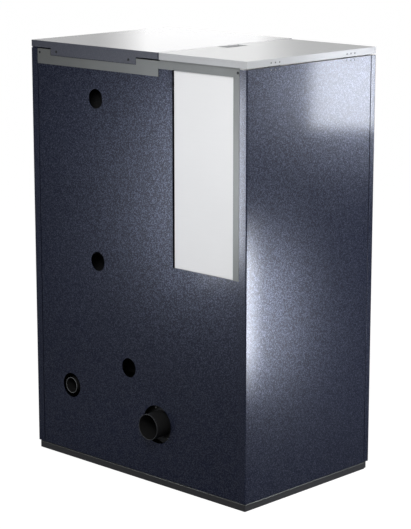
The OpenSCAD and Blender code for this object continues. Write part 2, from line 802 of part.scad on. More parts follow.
module lid_hinge_fixed() {
    xi = x_r + sheet_t;
    xk = hinge_x + 1.6;
    mid = hinge_l / 6;
    color("#b4b7b8") for (y = [-hinge_y, hinge_y]) {
        difference() {
            union() {
                along_y(y - hinge_l / 2, y + hinge_l / 2) polygon([
                    [xi, casing_h - 42], [xi + leaf_t, casing_h - 42], [xi + leaf_t, z_casing - 5.3],
                    [xk + leaf_t, z_casing - 4], [xk + leaf_t, hinge_z - knuckle_r - 0.5],
                    [xk, hinge_z - knuckle_r - 0.5], [xk, z_casing - 3.3], [xi, z_casing - 4.6]]);
                along_y(y - mid, y + mid) polygon([[xk, hinge_z - knuckle_r - 1], [xk + leaf_t,
                    hinge_z - knuckle_r - 1], [xk + leaf_t, hinge_z], [xk, hinge_z]]);
                rod_y(hinge_x, hinge_z, knuckle_r, y - mid, y + mid);
            }
            rod_y(hinge_x, hinge_z, hinge_pin_r + run_gap, y - hinge_l, y + hinge_l);
            for (i = [-1:1]) rod_x(y + i * rivet_pitch, casing_h - 31, 1.55, x_r - 2, x_r + 6);
        }
        for (i = [-1:1]) rivet(y + i * rivet_pitch, casing_h - 31, x_r);
    }
}

module lid_hinge_moving() {
    xi = x_r + sheet_t;
    mid = hinge_l / 6 + 0.3;
    color("#b4b7b8") for (y = [-hinge_y, hinge_y]) {
        difference() {
            union() {
                along_y(y - hinge_l / 2, y + hinge_l / 2) polygon([[xi, hinge_z], [xi + leaf_t, hinge_z],
                    [xi + leaf_t, casing_h - 5], [xi, casing_h - 5]]);
                rod_y(hinge_x, hinge_z, knuckle_r, y - hinge_l / 2, y + hinge_l / 2);
            }
            block(x_r, hinge_x + 4, y - mid, y + mid, hinge_z - 4, hinge_z + knuckle_r + 0.5);
            rod_y(hinge_x, hinge_z, hinge_pin_r + run_gap, y - hinge_l, y + hinge_l);
            for (i = [-1:1]) rod_x(y + i * rivet_pitch, casing_h - 11, 1.55, x_r - 2, x_r + 6);
        }
        for (i = [-1:1]) rivet(y + i * rivet_pitch, casing_h - 11, x_r);
    }
}

module lid_hinge_pins() {
    color("#8d9092") for (y = [-hinge_y, hinge_y])
        rod_y(hinge_x, hinge_z, hinge_pin_r, y - hinge_l / 2 - 1, y + hinge_l / 2 + 1);
}

module hopper_lid() {
    color("#c3c6c8") difference() {
        lid_tray(x_r, x_seam - seam_gap / 2, y_f);
        block(x_seam - grip_edge - grip_w, x_seam - grip_edge, -grip_l / 2, grip_l / 2, lid_z - 1, casing_h + 1);
        for (y = [-hinge_y, hinge_y], i = [-1:1])
            rod_x(y + i * rivet_pitch, casing_h - 11, 1.55, x_r - 1, x_r + 5);
    }
}

// Cup of the recessed grip, hooked under for the fingers
module lid_grip() {
    x0 = x_seam - grip_edge - grip_w;
    x1 = x_seam - grip_edge;
    color("#26272a") difference() {
        block(x0 + 0.2, x1 - 0.2, -grip_l / 2 + 0.2, grip_l / 2 - 0.2, casing_h - grip_depth, casing_h);
        along_y(-grip_l / 2 + 2.2, grip_l / 2 - 2.2) polygon([
            [x0 + 2.2, casing_h + 1], [x0 + 2.2, casing_h - 5], [x0 + 12, casing_h - grip_depth + 2],
            [x1 - 2.2, casing_h - grip_depth + 2], [x1 - 2.2, casing_h + 1]]);
    }
}

// Pellet feed

module auger_tube() {
    color("#6a6d72") difference() {
        union() {
            on_auger() cylinder(r = auger_tube_r, h = auger_l);
            block(outlet_mid - chute_w / 2, outlet_mid + chute_w / 2, y_burner - chute_w / 2 + 4,
                y_burner + chute_w / 2 - 4, outlet_z - 115, outlet_z);
            block(outlet_mid - chute_w / 2 - chute_flange, outlet_mid + chute_w / 2 + chute_flange,
                y_burner - chute_w / 2 - chute_flange, y_burner + chute_w / 2 + chute_flange,
                outlet_z - 3, outlet_z);
        }
        on_auger() translate([0, 0, 4]) cylinder(r = auger_in_r, h = auger_l - 8);
        on_auger() translate([0, 0, -1]) cylinder(r = bush_r, h = auger_l + 2);
        block(outlet_mid - outlet_w / 2, outlet_mid + outlet_w / 2, y_burner - outlet_w / 2 + 4,
            y_burner + outlet_w / 2 - 4, outlet_z - 100, outlet_z + 1);
        on_fall() cylinder(r = fall_r - tube_t, h = auger_tube_r + 5);
    }
}

module auger_bushes() {
    color("#b08d57") for (s = [-6, auger_l - 4])
        on_auger() translate([0, 0, s]) difference() {
            union() {
                cylinder(r = bush_r, h = 10);
                translate([0, 0, s < 0 ? 0 : 4]) cylinder(r = bush_r + 6, h = 6);
            }
            translate([0, 0, -1]) cylinder(r = auger_shaft_r + run_gap, h = 12);
        }
}

// Worm gearbox on the lower end of the tube with its motor across it
module auger_gearmotor() {
    color("#53565c") difference() {
        union() {
            on_auger() translate([-gearbox_w / 2, -gearbox_w / 2, -gearbox_l]) cube([gearbox_w, gearbox_w,
                gearbox_l]);
            on_auger() translate([0, gearbox_w / 2 - 1, -gearbox_l / 2 - 4]) rotate([-90, 0, 0])
                cylinder(r = 26, h = 90);
            on_auger() translate([0, gearbox_w / 2 + 70, -gearbox_l / 2 - 4]) rotate([-90, 0, 0])
                cylinder(r = 29, h = 24);
        }
        on_auger() translate([0, 0, -gearbox_l + 12]) cylinder(r = auger_shaft_r + run_gap, h = gearbox_l);
        on_auger() translate([0, 0, -8]) cylinder(r = bush_r + 6.5, h = 10);
    }
}

// Helical flight as one swept ribbon round the shaft
function flight_ring(a, s) = let (c = cos(a), n = sin(a), i = auger_shaft_r - 0.6) [
    [i * c, i * n, s], [auger_r * c, auger_r * n, s],
    [auger_r * c, auger_r * n, s + flight_t], [i * c, i * n, s + flight_t]];

module auger_screw() {
    steps = 16;
    s0 = 14;
    count = floor((auger_out - fall_r - 5 - s0) / auger_pitch * steps);
    points = [for (k = [0:count], p = flight_ring(k * 360 / steps, s0 + auger_pitch * k / steps)) p];
    sides = [for (k = [0:count - 1], j = [0:3]) let (a = 4 * k + j, b = 4 * k + (j + 1) % 4)
        each [[a, b, b + 4], [a, b + 4, a + 4]]];
    last = 4 * count;
    color("#9a9da1") on_auger() {
        translate([0, 0, -gearbox_l + 14]) cylinder(r = auger_shaft_r, h = gearbox_l + auger_l - 8);
        polyhedron(points, concat([[0, 2, 1], [0, 3, 2]], sides,
            [[last + 2, last, last + 1], [last + 3, last, last + 2]]));
    }
}

module fall_tube() {
    long = (fall_end_x - fall_q[0]) / cos(fall_angle);
    color("#6a6d72") difference() {
        on_fall() cylinder(r = fall_r, h = long);
        on_fall() translate([0, 0, -1]) cylinder(r = fall_r - tube_t, h = long + 2);
        on_auger() translate([0, 0, -20]) cylinder(r = auger_tube_r + seat, h = auger_l + 60);
    }
}

// Boiler body

module boiler_body() {
    color("#3b3d42") {
        difference() {
            block(body_x0, body_x1, body_y0, body_y1, body_z, body_top);
            block(body_x0 + jacket_side, body_x1 - jacket_side, chamber_y0, chamber_y1, body_z - 1,
                tube_plate_z + 1);
            block(body_x0 + turn_wall, body_x1 - turn_wall, body_y0 + turn_wall, body_y1 - jacket_t,
                tube_plate_z, body_top + 1);
            block(fire_x0, fire_x0 + fire_w, body_y0 - 1, chamber_y0 + 1, body_z + fire_z,
                body_z + fire_z + fire_h);
            for (i = [0:fire_columns - 1], j = [0:1])
                translate([tube_x0 + i * fire_pitch_x, tube_y0 + j * fire_pitch_y, body_z - 1])
                    cylinder(r = fire_tube_r, h = body_h);
            on_fall() cylinder(r = fall_r + seat, h = 400);
            rod_x(shaft_y, shaft_z, shaker_r + run_gap, body_x0 - 1, body_x1 - 6);
        }
        for (x = [body_x0 + jacket_side + 5, body_x1 - jacket_side - 5])
            for (y = [chamber_y0 + 50, chamber_y1 - 20])
                rod_x(y, lug_z, lug_r, x - 8, x + 8);
    }
}

module smoke_chamber_lid() {
    color("#2f3136") {
        block(body_x0, body_x1, body_y0, body_y1, body_top, body_top + 8);
        for (x = [body_x0 + 90, body_x1 - 90])
            block(x - 4, x + 4, body_y0 + 30, body_y1 - 30, body_top + 7, body_top + 18);
        for (x = [body_x0 + 12, body_x1 - 12], y = [body_y0 + 12, body_y1 - 12])
            translate([x, y, body_top + 7]) cylinder(r = 9, h = 16);
    }
}

module insulation_blanket() {
    o = blanket_t;
    color("#c9b98a") difference() {
        block(body_x0 - o, body_x1 + o, body_y0 + 5, body_y1 + o, body_z, body_top);
        block(body_x0 - seat, body_x1 + seat, body_y0 - 1, body_y1 + seat, body_z - 1, body_top + 1);
        for (p = [[flow_x, flow_z], [return_x, return_z], [drain_x, drain_z]])
            rod_y(p[0], p[1], socket_r + 1, body_y1 - 5, body_y1 + o + 5);
        on_fall() cylinder(r = fall_r + 1, h = 300);
        on_auger() cylinder(r = auger_tube_r + 5, h = auger_l + 15);
        block(body_x0 - o - 1, body_x0 + 1, shaft_y - 36, shaft_y + 36, shaft_z - 36, shaft_z + 36);
    }
}

module flame_baffle() {
    color("#b9a384") difference() {
        block(body_x0 + jacket_side + 1, body_x1 - jacket_side - 1, chamber_y0 + baffle_gap, chamber_y1 - 1,
            lug_z + lug_r, lug_z + lug_r + baffle_t);
        for (i = [1:4])
            block(body_x0 + jacket_side + i * 55 - 12, body_x0 + jacket_side + i * 55 + 12, chamber_y0 + 20,
                chamber_y0 + baffle_gap + 14, lug_z, lug_z + lug_r + baffle_t + 1);
    }
}

// Ash housing that carries the boiler body, with the runners of the drawer
module ash_housing() {
    t = housing_t;
    color("#3b3d42") {
        for (x = [body_x0, body_x1 - t]) block(x, x + t, body_y0, ash_y1 - t, z_low, body_z);
        block(body_x0, body_x1, body_y0, ash_y1 - t, z_low, z_low + t);
        block(body_x0, body_x1, body_y0, body_y0 + t, drawer_z1 + 10, body_z);
        for (x = [drawer_x0 + 20, drawer_x1 - 32])
            block(x, x + 12, body_y0 + 5, ash_y1 - t - 5, z_low + t - eps, drawer_z0 - seat);
    }
}

// Rear wall of the ash housing, with the hole for the air pipe
module ash_housing_rear() {
    color("#3b3d42") difference() {
        block(body_x0, body_x1, ash_y1 - housing_t, ash_y1, z_low, body_z);
        rod_y(intake_x, intake_z, intake_r + seat, ash_y1 - housing_t - 1, ash_y1 + 1);
    }
}

// Smoke box under the fire tubes, with the collar to the fan
module smoke_box() {
    t = 3;
    color("#3b3d42") difference() {
        union() {
            block(body_x0, smoke_x1, smoke_y0, smoke_y1, smoke_z, body_z);
            rod_x(fan_y, fan_z, inlet_r + 3, fan_x1, body_x0 + 1);
            for (x = [body_x0 + 20, smoke_x1 - 40])
                block(x, x + 20, smoke_y0 + 40, smoke_y0 + 80, z_low, smoke_z + eps);
        }
        block(body_x0 + t, smoke_x1 - t, smoke_y0 + t, smoke_y1 - t, smoke_z + t, body_z + 1);
        rod_x(fan_y, fan_z, inlet_r, fan_x1 - 1, body_x0 + t + 1);
    }
}

module burner_pot() {
    wall = 5;
    color("#4a4543") difference() {
        translate([body_x, y_burner, pot_z]) rotate_extrude() polygon([[0, 0], [46, 0], [50, 4],
            [50, pot_h - 6], [58, pot_h - 6], [58, pot_h], [50 - wall, pot_h], [50 - wall, wall], [0, wall]]);
        for (a = [0:30:330])
            translate([body_x + 26 * cos(a), y_burner + 26 * sin(a), pot_z - 1]) cylinder(r = 3, h = wall + 2);
        for (a = [15:30:345], h = [25, 45])
            translate([body_x, y_burner, pot_z + h]) rotate([0, 0, a]) translate([42, 0, 0])
                rotate([0, 90, 0]) cylinder(r = 2.5, h = 12);
        translate([body_x, y_burner, pot_z - 1]) cylinder(r = 9, h = wall + 2);
    }
}

// Air box under the burner pot, open at the rear for its wall
module air_box() {
    t = air_box_t;
    x1 = body_x1 - housing_t;
    y1 = y_burner + air_box_half - t;
    color("#5b5e63") difference() {
        block(air_box_x0, x1, y_burner - air_box_half, y1, air_box_z0, air_box_z1);
        block(air_box_x0 + t, x1 - t, y_burner - air_box_half + t, y1 + 1, air_box_z0 + t, air_box_z1 - t);
        translate([body_x, y_burner, air_box_z1 - 5]) cylinder(r = 36, h = 10);
    }
}

// Rear wall of the air box, with the end of the air pipe
module air_box_rear() {
    y1 = y_burner + air_box_half;
    color("#5b5e63") difference() {
        block(air_box_x0, body_x1 - housing_t, y1 - air_box_t, y1, air_box_z0, air_box_z1);
        rod_y(intake_x, intake_z, intake_r - pipe_t, y1 - air_box_t - 1, y1 + 1);
    }
}

module igniter() {
    color("#d8d4c8") translate([body_x, y_burner, air_box_z0 + 2]) {
        cylinder(r = 12, h = 6);
        cylinder(r = 6, h = air_box_z1 - air_box_z0 - 3);
    }
}

// Threaded sockets for flow, return and drain
module water_sockets() {
    y1 = y_b - socket_back;
    color("#101114") for (p = [[flow_x, flow_z], [return_x, return_z], [drain_x, drain_z]])
        difference() {
            union() {
                rod_y(p[0], p[1], socket_r - 4, body_y1, y1);
                rod_y(p[0], p[1], socket_r, y1 - 28, y1);
            }
            rod_y(p[0], p[1], socket_bore_r, y1 - 20, y1 + 1);
            rod_y(p[0], p[1], socket_bore_r - 2, body_y1 + 3, y1 + 1);
        }
}

// Heat exchanger cleaning

// Twisted strips that hang from the yoke in the fire tubes
module turbulators() {
    x0 = tube_x0 - 14;
    x1 = tube_x0 + (fire_columns - 1) * fire_pitch_x + 14;
    front = shaft_y + arm_l - 10;
    color("#7d8086") {
        for (i = [0:fire_columns - 1], j = [0:1])
            translate([tube_x0 + i * fire_pitch_x, tube_y0 + j * fire_pitch_y, yoke_z0 - strip_l])
                linear_extrude(strip_l, twist = 360 * strip_turns, slices = 10 * strip_turns,
                    segments = 4)
                    square([strip_w, strip_t], center = true);
        difference() {
            block(x0, x1, front, tube_y0 + fire_pitch_y + 12, yoke_z0, yoke_z0 + yoke_t);
            for (i = [0:fire_columns - 2])
                block(tube_x0 + i * fire_pitch_x + 14, tube_x0 + (i + 1) * fire_pitch_x - 14, tube_y0 - 6,
                    tube_y0 + fire_pitch_y + 2, yoke_z0 - 1, yoke_z0 + yoke_t + 1);
        }
    }
}

// Cross shaft with two arms whose rollers lift the yoke
module cleaning_shaft() {
    tip = shaft_y + arm_l;
    color("#6f7277") {
        rod_x(shaft_y, shaft_z, shaker_r, body_x0 - blanket_t - 6, body_x1 - 8);
        for (x = [tube_x0 + fire_pitch_x / 2, tube_x0 + fire_pitch_x * 2.5]) {
            difference() {
                rod_x(shaft_y, shaft_z, shaker_r + 6, x - 7, x + 7);
                rod_x(shaft_y, shaft_z, shaker_r - 1, x - 8, x + 8);
            }
            block(x - 5, x + 5, shaft_y + shaker_r + 2, tip - 3, shaft_z - 5, shaft_z + 5);
            rod_x(tip, shaft_z, roller_r, x - 9, x + 9);
        }
    }
}

module cleaning_gearmotor() {
    x1 = body_x0 - seat;
    color("#53565c") difference() {
        union() {
            block(x1 - 4, x1, shaft_y - 34, shaft_y + 34, shaft_z - 34, shaft_z + 34);
            block(x1 - 4 - shaker_motor_l / 2, x1 - 3, shaft_y - 26, shaft_y + 26, shaft_z - 26, shaft_z + 26);
            rod_x(shaft_y, shaft_z - 4, 20, x1 - 4 - shaker_motor_l, x1 - 3 - shaker_motor_l / 2);
        }
        rod_x(shaft_y, shaft_z, shaker_r + run_gap, body_x0 - blanket_t - 8, x1 + 1);
    }
}

// Smoke fan

// Spiral outline of the fan housing in depth and height, drawn in by w
function volute(w, y_end) = concat(
    [for (a = [0:10:270]) let (r = fan_r0 + (fan_r1 - fan_r0) * a / 270 - w)
        [fan_y + r * cos(a), fan_z + r * sin(a)]],
    [[y_end, fan_bottom + w], [y_end, fan_bottom + fan_w - w], [fan_y + fan_r0 - w, fan_bottom + fan_w - w]]);

module fan_housing() {
    color("#2b2d32") difference() {
        union() {
            along_x(fan_x0, fan_x1) polygon(volute(0, fan_flange_y + 1));
            rod_y(flue_x, flue_z, flange_screw_pcr + 10, fan_flange_y, fan_flange_y + 3);
            rod_x(fan_y, fan_z, fan_motor_r + 6, fan_x0 - 3, fan_x0 + 1);
        }
        along_x(fan_x0 + fan_wall, fan_x1 - fan_wall) polygon(volute(fan_wall, fan_flange_y + 10));
        rod_x(fan_y, fan_z, inlet_r, fan_x1 - 5, fan_x1 + 1);
        rod_x(fan_y, fan_z, 12, fan_x0 - 4, fan_x0 + 5);
        for (a = [60, 120, 240, 300])
            rod_y(flue_x + flange_screw_pcr * cos(a), flue_z + flange_screw_pcr * sin(a), 2.5,
                fan_flange_y - 1, fan_flange_y + 5);
    }
}

module fan_motor() {
    x1 = fan_x0 - 3;
    color("#3d4046") difference() {
        union() {
            rod_x(fan_y, fan_z, fan_motor_r, x1 - 52, x1);
            rod_x(fan_y, fan_z, fan_motor_r * 0.7, x1 - 64, x1 - 50);
        }
        rod_x(fan_y, fan_z, fan_shaft_r + run_gap, x1 - 40, x1 + 1);
        for (i = [0:3]) difference() {
            rod_x(fan_y, fan_z, fan_motor_r + 5, x1 - 14 - i * 10, x1 - 10 - i * 10);
            rod_x(fan_y, fan_z, fan_motor_r - 3, x1 - 15 - i * 10, x1 - 9 - i * 10);
        }
    }
}

// Backward-curved blade of the fan wheel in plan
function blade_side(r, a0) = [for (i = [0:6]) let (q = wheel_r * 0.45 + (r - wheel_r * 0.45) * i / 6)
    [q * cos(a0 + i * 7), q * sin(a0 + i * 7)]];

function reversed(list) = [for (i = [len(list) - 1:-1:0]) list[i]];

module fan_wheel() {
    x0 = fan_x0 + fan_wall + 6;
    x1 = fan_x1 - fan_wall - 8;
    color("#888b90") {
        rod_x(fan_y, fan_z, fan_shaft_r, fan_x0 - 40, x0 + 4);
        difference() {
            union() {
                rod_x(fan_y, fan_z, wheel_r, x0, x0 + 2);
                rod_x(fan_y, fan_z, wheel_r * 0.3, x0 - 3, x0 + 22);
                translate([x0 + 1, fan_y, fan_z]) rotate([90, 0, 90]) linear_extrude(x1 - x0 - 2)
                    for (k = [0:wheel_blades - 1]) rotate(k * 360 / wheel_blades)
                        polygon(concat(blade_side(wheel_r - 1, 0), reversed(blade_side(wheel_r - 1, -4))));
            }
            rod_x(fan_y, fan_z, wheel_r * 0.15, x0 + 6, x0 + 30);
        }
        difference() {
            rod_x(fan_y, fan_z, wheel_r, x1 - 2, x1);
            rod_x(fan_y, fan_z, wheel_r * 0.7, x1 - 3, x1 + 1);
        }
    }
}

module flue_gasket() {
    y0 = fan_flange_y + 3;
    color("#8c8c84") difference() {
        rod_y(flue_x, flue_z, flange_screw_pcr + 10, y0, y0 + gasket_t);
        rod_y(flue_x, flue_z, flue_d / 2, y0 - 1, y0 + gasket_t + 1);
        for (a = [60, 120, 240, 300])
            rod_y(flue_x + flange_screw_pcr * cos(a), flue_z + flange_screw_pcr * sin(a), 2.5,
                y0 - 1, y0 + gasket_t + 1);
    }
}

module flue_outlet() {
    color("#0d0e10") difference() {
        union() {
            rod_y(flue_x, flue_z, flue_d / 2, flue_flange_y, y_b + flue_out);
            rod_y(flue_x, flue_z, flange_screw_pcr + 10, flue_flange_y, flue_flange_y + 3);
        }
        rod_y(flue_x, flue_z, flue_d / 2 - pipe_t, flue_flange_y - 1, y_b + flue_out + 1);
        for (a = [60, 120, 240, 300])
            rod_y(flue_x + flange_screw_pcr * cos(a), flue_z + flange_screw_pcr * sin(a), 2.5,
                flue_flange_y - 1, flue_flange_y + 5);
    }
}

module flue_screws() {
    y = flue_flange_y + 3;
    color("#d5d7d8") for (a = [60, 120, 240, 300])
        translate([flue_x + flange_screw_pcr * cos(a), y, flue_z + flange_screw_pcr * sin(a)])
            rotate([90, 0, 0]) {
                translate([0, 0, -3.2]) cylinder(r = 4.4, h = 3.2, $fn = 6);
                translate([0, 0, -1]) cylinder(r = 2.4, h = 11);
            }
}

module air_intake_pipe() {
    y0 = y_burner + air_box_half;
    color("#0d0e10") difference() {
        rod_y(intake_x, intake_z, intake_r, y0, y_b);
        rod_y(intake_x, intake_z, intake_r - pipe_t, y0 - 1, y_b + 1);
    }
}

// Front: door, latch, ash drawer and switch

// Two cranked brackets on the front frame with the pins that the door turns on
module door_hinge_brackets() {
    px = door_pin[0];
    py = door_pin[1];
    t = 2.4;
    inner = x_l - side_flange - 1;
    low = (drawer_top + door_z0) / 2 - t / 2;
    high = (door_z1 + panel_z0) / 2 - t / 2;
    color("#5f6268") {
        for (z = [low, high])
            plan(z, z + t) polygon([[px - 24, frame_y], [inner, frame_y], [inner, y_side - 1.5],
                [px + 5, y_side - 1.5], [px + 5, py - 4], [px - 8, py - 4], [px - 24, y_side - 10]]);
        translate([px, py, low + t / 2]) cylinder(r = door_pin_r, h = 14);
        translate([px, py, high + t / 2 - 14]) cylinder(r = door_pin_r, h = 14);
    }
}

module boiler_door() {
    px = door_pin[0];
    py = door_pin[1];
    color("#1d2134") difference() {
        union() {
            folded_tray(door_x0, door_x1, y_door, y_door_back, door_z0, door_z1);
            for (z = [door_z0 + 0.5, door_z1 - 12.5])
                translate([px, py, z]) cylinder(r = door_pin_r + 2, h = 12);
        }
        translate([px, py, door_z0 - 1]) cylinder(r = door_pin_r + run_gap, h = 15);
        translate([px, py, door_z1 - 14]) cylinder(r = door_pin_r + run_gap, h = 15);
        rod_y(latch_x, latch_z, 6 + run_gap, y_door - 1, y_door + 3);
    }
}

// Dished inner plate of the fire door on its four studs
module fire_door_plate() {
    x0 = fire_x0 - plate_margin;
    x1 = fire_x0 + fire_w + plate_margin;
    z0 = body_z + fire_z - plate_margin;
    z1 = body_z + fire_z + fire_h + plate_margin;
    color("#2a2b2e") {
        difference() {
            block(x0, x1, plate_y0, plate_y1, z0, z1);
            block(x0 + 6, x1 - 6, plate_y0 - 1, plate_y1 - 6, z0 + 6, z1 - 6);
        }
        for (x = [x0 + 40, x1 - 40], z = [z0 + 50, z1 - 50])
            rod_y(x, z, 6, y_door + sheet_t, plate_y1 - 5);
    }
}

module door_gasket() {
    x0 = fire_x0 - plate_margin + 4;
    x1 = fire_x0 + fire_w + plate_margin - 4;
    z0 = body_z + fire_z - plate_margin + 4;
    z1 = body_z + fire_z + fire_h + plate_margin - 4;
    color("#cfc9b6") along_y(plate_y1, body_y0 - seat) difference() {
        polygon(rounded(x0, z0, x1, z1, 12));
        polygon(rounded(x0 + 14, z0 + 14, x1 - 14, z1 - 14, 6));
    }
}

// Lever, spindle and tongue: at rest the tongue stands up, clear of the lip of the frame
module door_handle() {
    tongue_y = frame_y + sheet_t + 3;
    color("#121316") {
        rod_y(latch_x, latch_z, 6, y_door - 12, tongue_y + 4);
        rod_y(latch_x, latch_z, 17, y_door - 6, y_door - seat);
        rod_y(latch_x, latch_z, 14, y_door - 26, y_door - 5);
        along_y(y_door - 26, y_door - 14) polygon(concat(
            arc(latch_x + 118, latch_z, 9, 90, -90), arc(latch_x, latch_z, 12, 270, 90)));
        along_y(tongue_y, tongue_y + 4) polygon(concat(
            arc(latch_x, latch_z + 26, 6, 0, 180), arc(latch_x, latch_z, 10, 180, 360)));
    }
}

module ash_drawer_front() {
    mid = (door_x0 + door_x1) / 2;
    zh = (z_low + drawer_top) / 2 + 30;
    color("#1d2134") {
        folded_tray(door_x0, door_x1, y_door, y_door_back, z_low + 6, drawer_top);
        for (x = [mid - 70, mid + 70]) rod_y(x, zh, 5, y_door - 28, y_door + 1);
        along_x(mid - 84, mid + 84) polygon([for (a = [0:30:330])
            [y_door - 30 + 7 * cos(a), zh + 7 * sin(a)]]);
    }
}

module ash_drawer() {
    t = drawer_t;
    color("#8e9194") {
        difference() {
            block(drawer_x0, drawer_x1, plate_y0, drawer_y1, drawer_z0, drawer_z1);
            block(drawer_x0 + t, drawer_x1 - t, plate_y0 + t, drawer_y1 - t, drawer_z0 + t, drawer_z1 + 1);
        }
        for (x = [drawer_x0 + 30, drawer_x1 - 30])
            block(x - 8, x + 8, y_door + sheet_t, plate_y0 + t / 2, drawer_z0 + 20, drawer_z0 + 60);
    }
}

// Rocker of the main switch, tilted to its off side at rest
module main_switch() {
    py = y_door + 4;
    hw = switch_w / 2 - 0.5;
    hh = switch_h / 2 - 1.8;
    color("#0b0c0e") translate([switch_x, py, display_z]) rotate([switch_tilt, 0, 0]) {
        translate([-hw, 0, 0]) rotate([90, 0, 90]) linear_extrude(2 * hw)
            polygon([[-9, -hh], [-6.6, 0], [-9, hh], [-2, hh], [5, 4], [5, -4], [-2, -hh]]);
        rod_x(0, 0, 2, -hw - 2.5, hw + 2.5);
    }
}

base_plinth();
base_plate();
front_kick_plate();
side_panel_left();
side_panel_right();
rear_panel();
rear_rail();
casing_screws();
top_cover();
hopper_front_panel();
front_frame();
boiler_front_panel();
display_housing();
display_glass();
control_box();
hopper_stand();
hopper_tank();
hopper_funnel();
hopper_guard();
hopper_seal();
lid_hinge_fixed();
lid_hinge_pins();
auger_tube();
auger_bushes();
auger_gearmotor();
fall_tube();
boiler_body();
smoke_chamber_lid();
insulation_blanket();
flame_baffle();
ash_housing();
ash_housing_rear();
smoke_box();
burner_pot();
air_box();
air_box_rear();
igniter();
water_sockets();
cleaning_gearmotor();
fan_housing();
fan_motor();
flue_gasket();
flue_outlet();
flue_screws();
air_intake_pipe();
door_hinge_brackets();
hopper_lid();
lid_grip();
lid_hinge_moving();
boiler_door();
fire_door_plate();
door_gasket();
door_handle();
ash_drawer();
ash_drawer_front();
auger_screw();
fan_wheel();
turbulators();
cleaning_shaft();
main_switch();
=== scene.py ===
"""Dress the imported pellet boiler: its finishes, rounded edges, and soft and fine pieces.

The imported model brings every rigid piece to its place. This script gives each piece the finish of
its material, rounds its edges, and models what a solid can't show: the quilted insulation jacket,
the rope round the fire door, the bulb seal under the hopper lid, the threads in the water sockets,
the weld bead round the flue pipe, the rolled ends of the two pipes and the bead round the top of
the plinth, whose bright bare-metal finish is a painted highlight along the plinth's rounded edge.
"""

import json
import logging
import math
from dataclasses import dataclass, field
from enum import Enum
from typing import Callable

import bpy
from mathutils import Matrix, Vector

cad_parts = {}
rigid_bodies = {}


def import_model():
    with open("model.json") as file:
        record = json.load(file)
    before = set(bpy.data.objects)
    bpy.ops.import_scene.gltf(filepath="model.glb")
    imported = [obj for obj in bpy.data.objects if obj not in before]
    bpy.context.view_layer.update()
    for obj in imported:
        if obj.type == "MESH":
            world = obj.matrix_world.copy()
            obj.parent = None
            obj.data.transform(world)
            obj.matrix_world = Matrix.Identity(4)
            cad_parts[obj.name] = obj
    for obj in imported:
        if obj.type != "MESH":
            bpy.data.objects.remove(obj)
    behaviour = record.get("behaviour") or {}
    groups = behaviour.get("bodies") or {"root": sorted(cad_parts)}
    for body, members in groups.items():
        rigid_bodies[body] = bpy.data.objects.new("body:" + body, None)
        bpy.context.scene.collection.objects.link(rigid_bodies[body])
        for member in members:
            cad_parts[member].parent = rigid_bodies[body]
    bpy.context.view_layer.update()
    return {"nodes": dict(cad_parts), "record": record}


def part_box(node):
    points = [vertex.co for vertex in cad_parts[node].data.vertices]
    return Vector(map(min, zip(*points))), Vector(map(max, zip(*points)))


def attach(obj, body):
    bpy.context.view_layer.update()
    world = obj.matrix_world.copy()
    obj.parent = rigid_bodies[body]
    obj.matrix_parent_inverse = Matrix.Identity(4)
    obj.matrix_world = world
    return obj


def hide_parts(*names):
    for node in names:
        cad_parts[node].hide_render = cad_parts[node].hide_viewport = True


log = logging.getLogger("pellet_boiler")

Node = bpy.types.Node
Piece = bpy.types.Object
Socket = bpy.types.NodeSocket
Tree = bpy.types.NodeTree
Triple = tuple[float, float, float]
Colour = Triple

MM = 0.001
MERGE_DISTANCE = 1e-5
TO_REAR: Triple = (math.pi / 2, 0.0, 0.0)
WHITE: Colour = (1.0, 1.0, 1.0)
COOL: Colour = (0.87, 0.91, 1.0)


class Body(Enum):
    """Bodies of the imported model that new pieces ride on."""

    CASING = "root"
    BOILER_DOOR = "boiler_door"


class Edge(Enum):
    """How far a kind of piece has its edges rounded, in millimetres."""

    NONE = 0.0
    THIN_SHEET = 0.35
    PANEL = 0.7
    TURNED = 0.5
    MOULDING = 1.4
    CASTING = 2.4


class Detail(Enum):
    """Effect groups that give a finish its relief and its mask."""

    GRAIN = "grained_coat"
    BRUSHED = "brushed_sheet"
    ROUGH = "rough_surface"


# Shader trees

SOCKET_KINDS = {"Place": "NodeSocketVector", "Colour": "NodeSocketColor"}


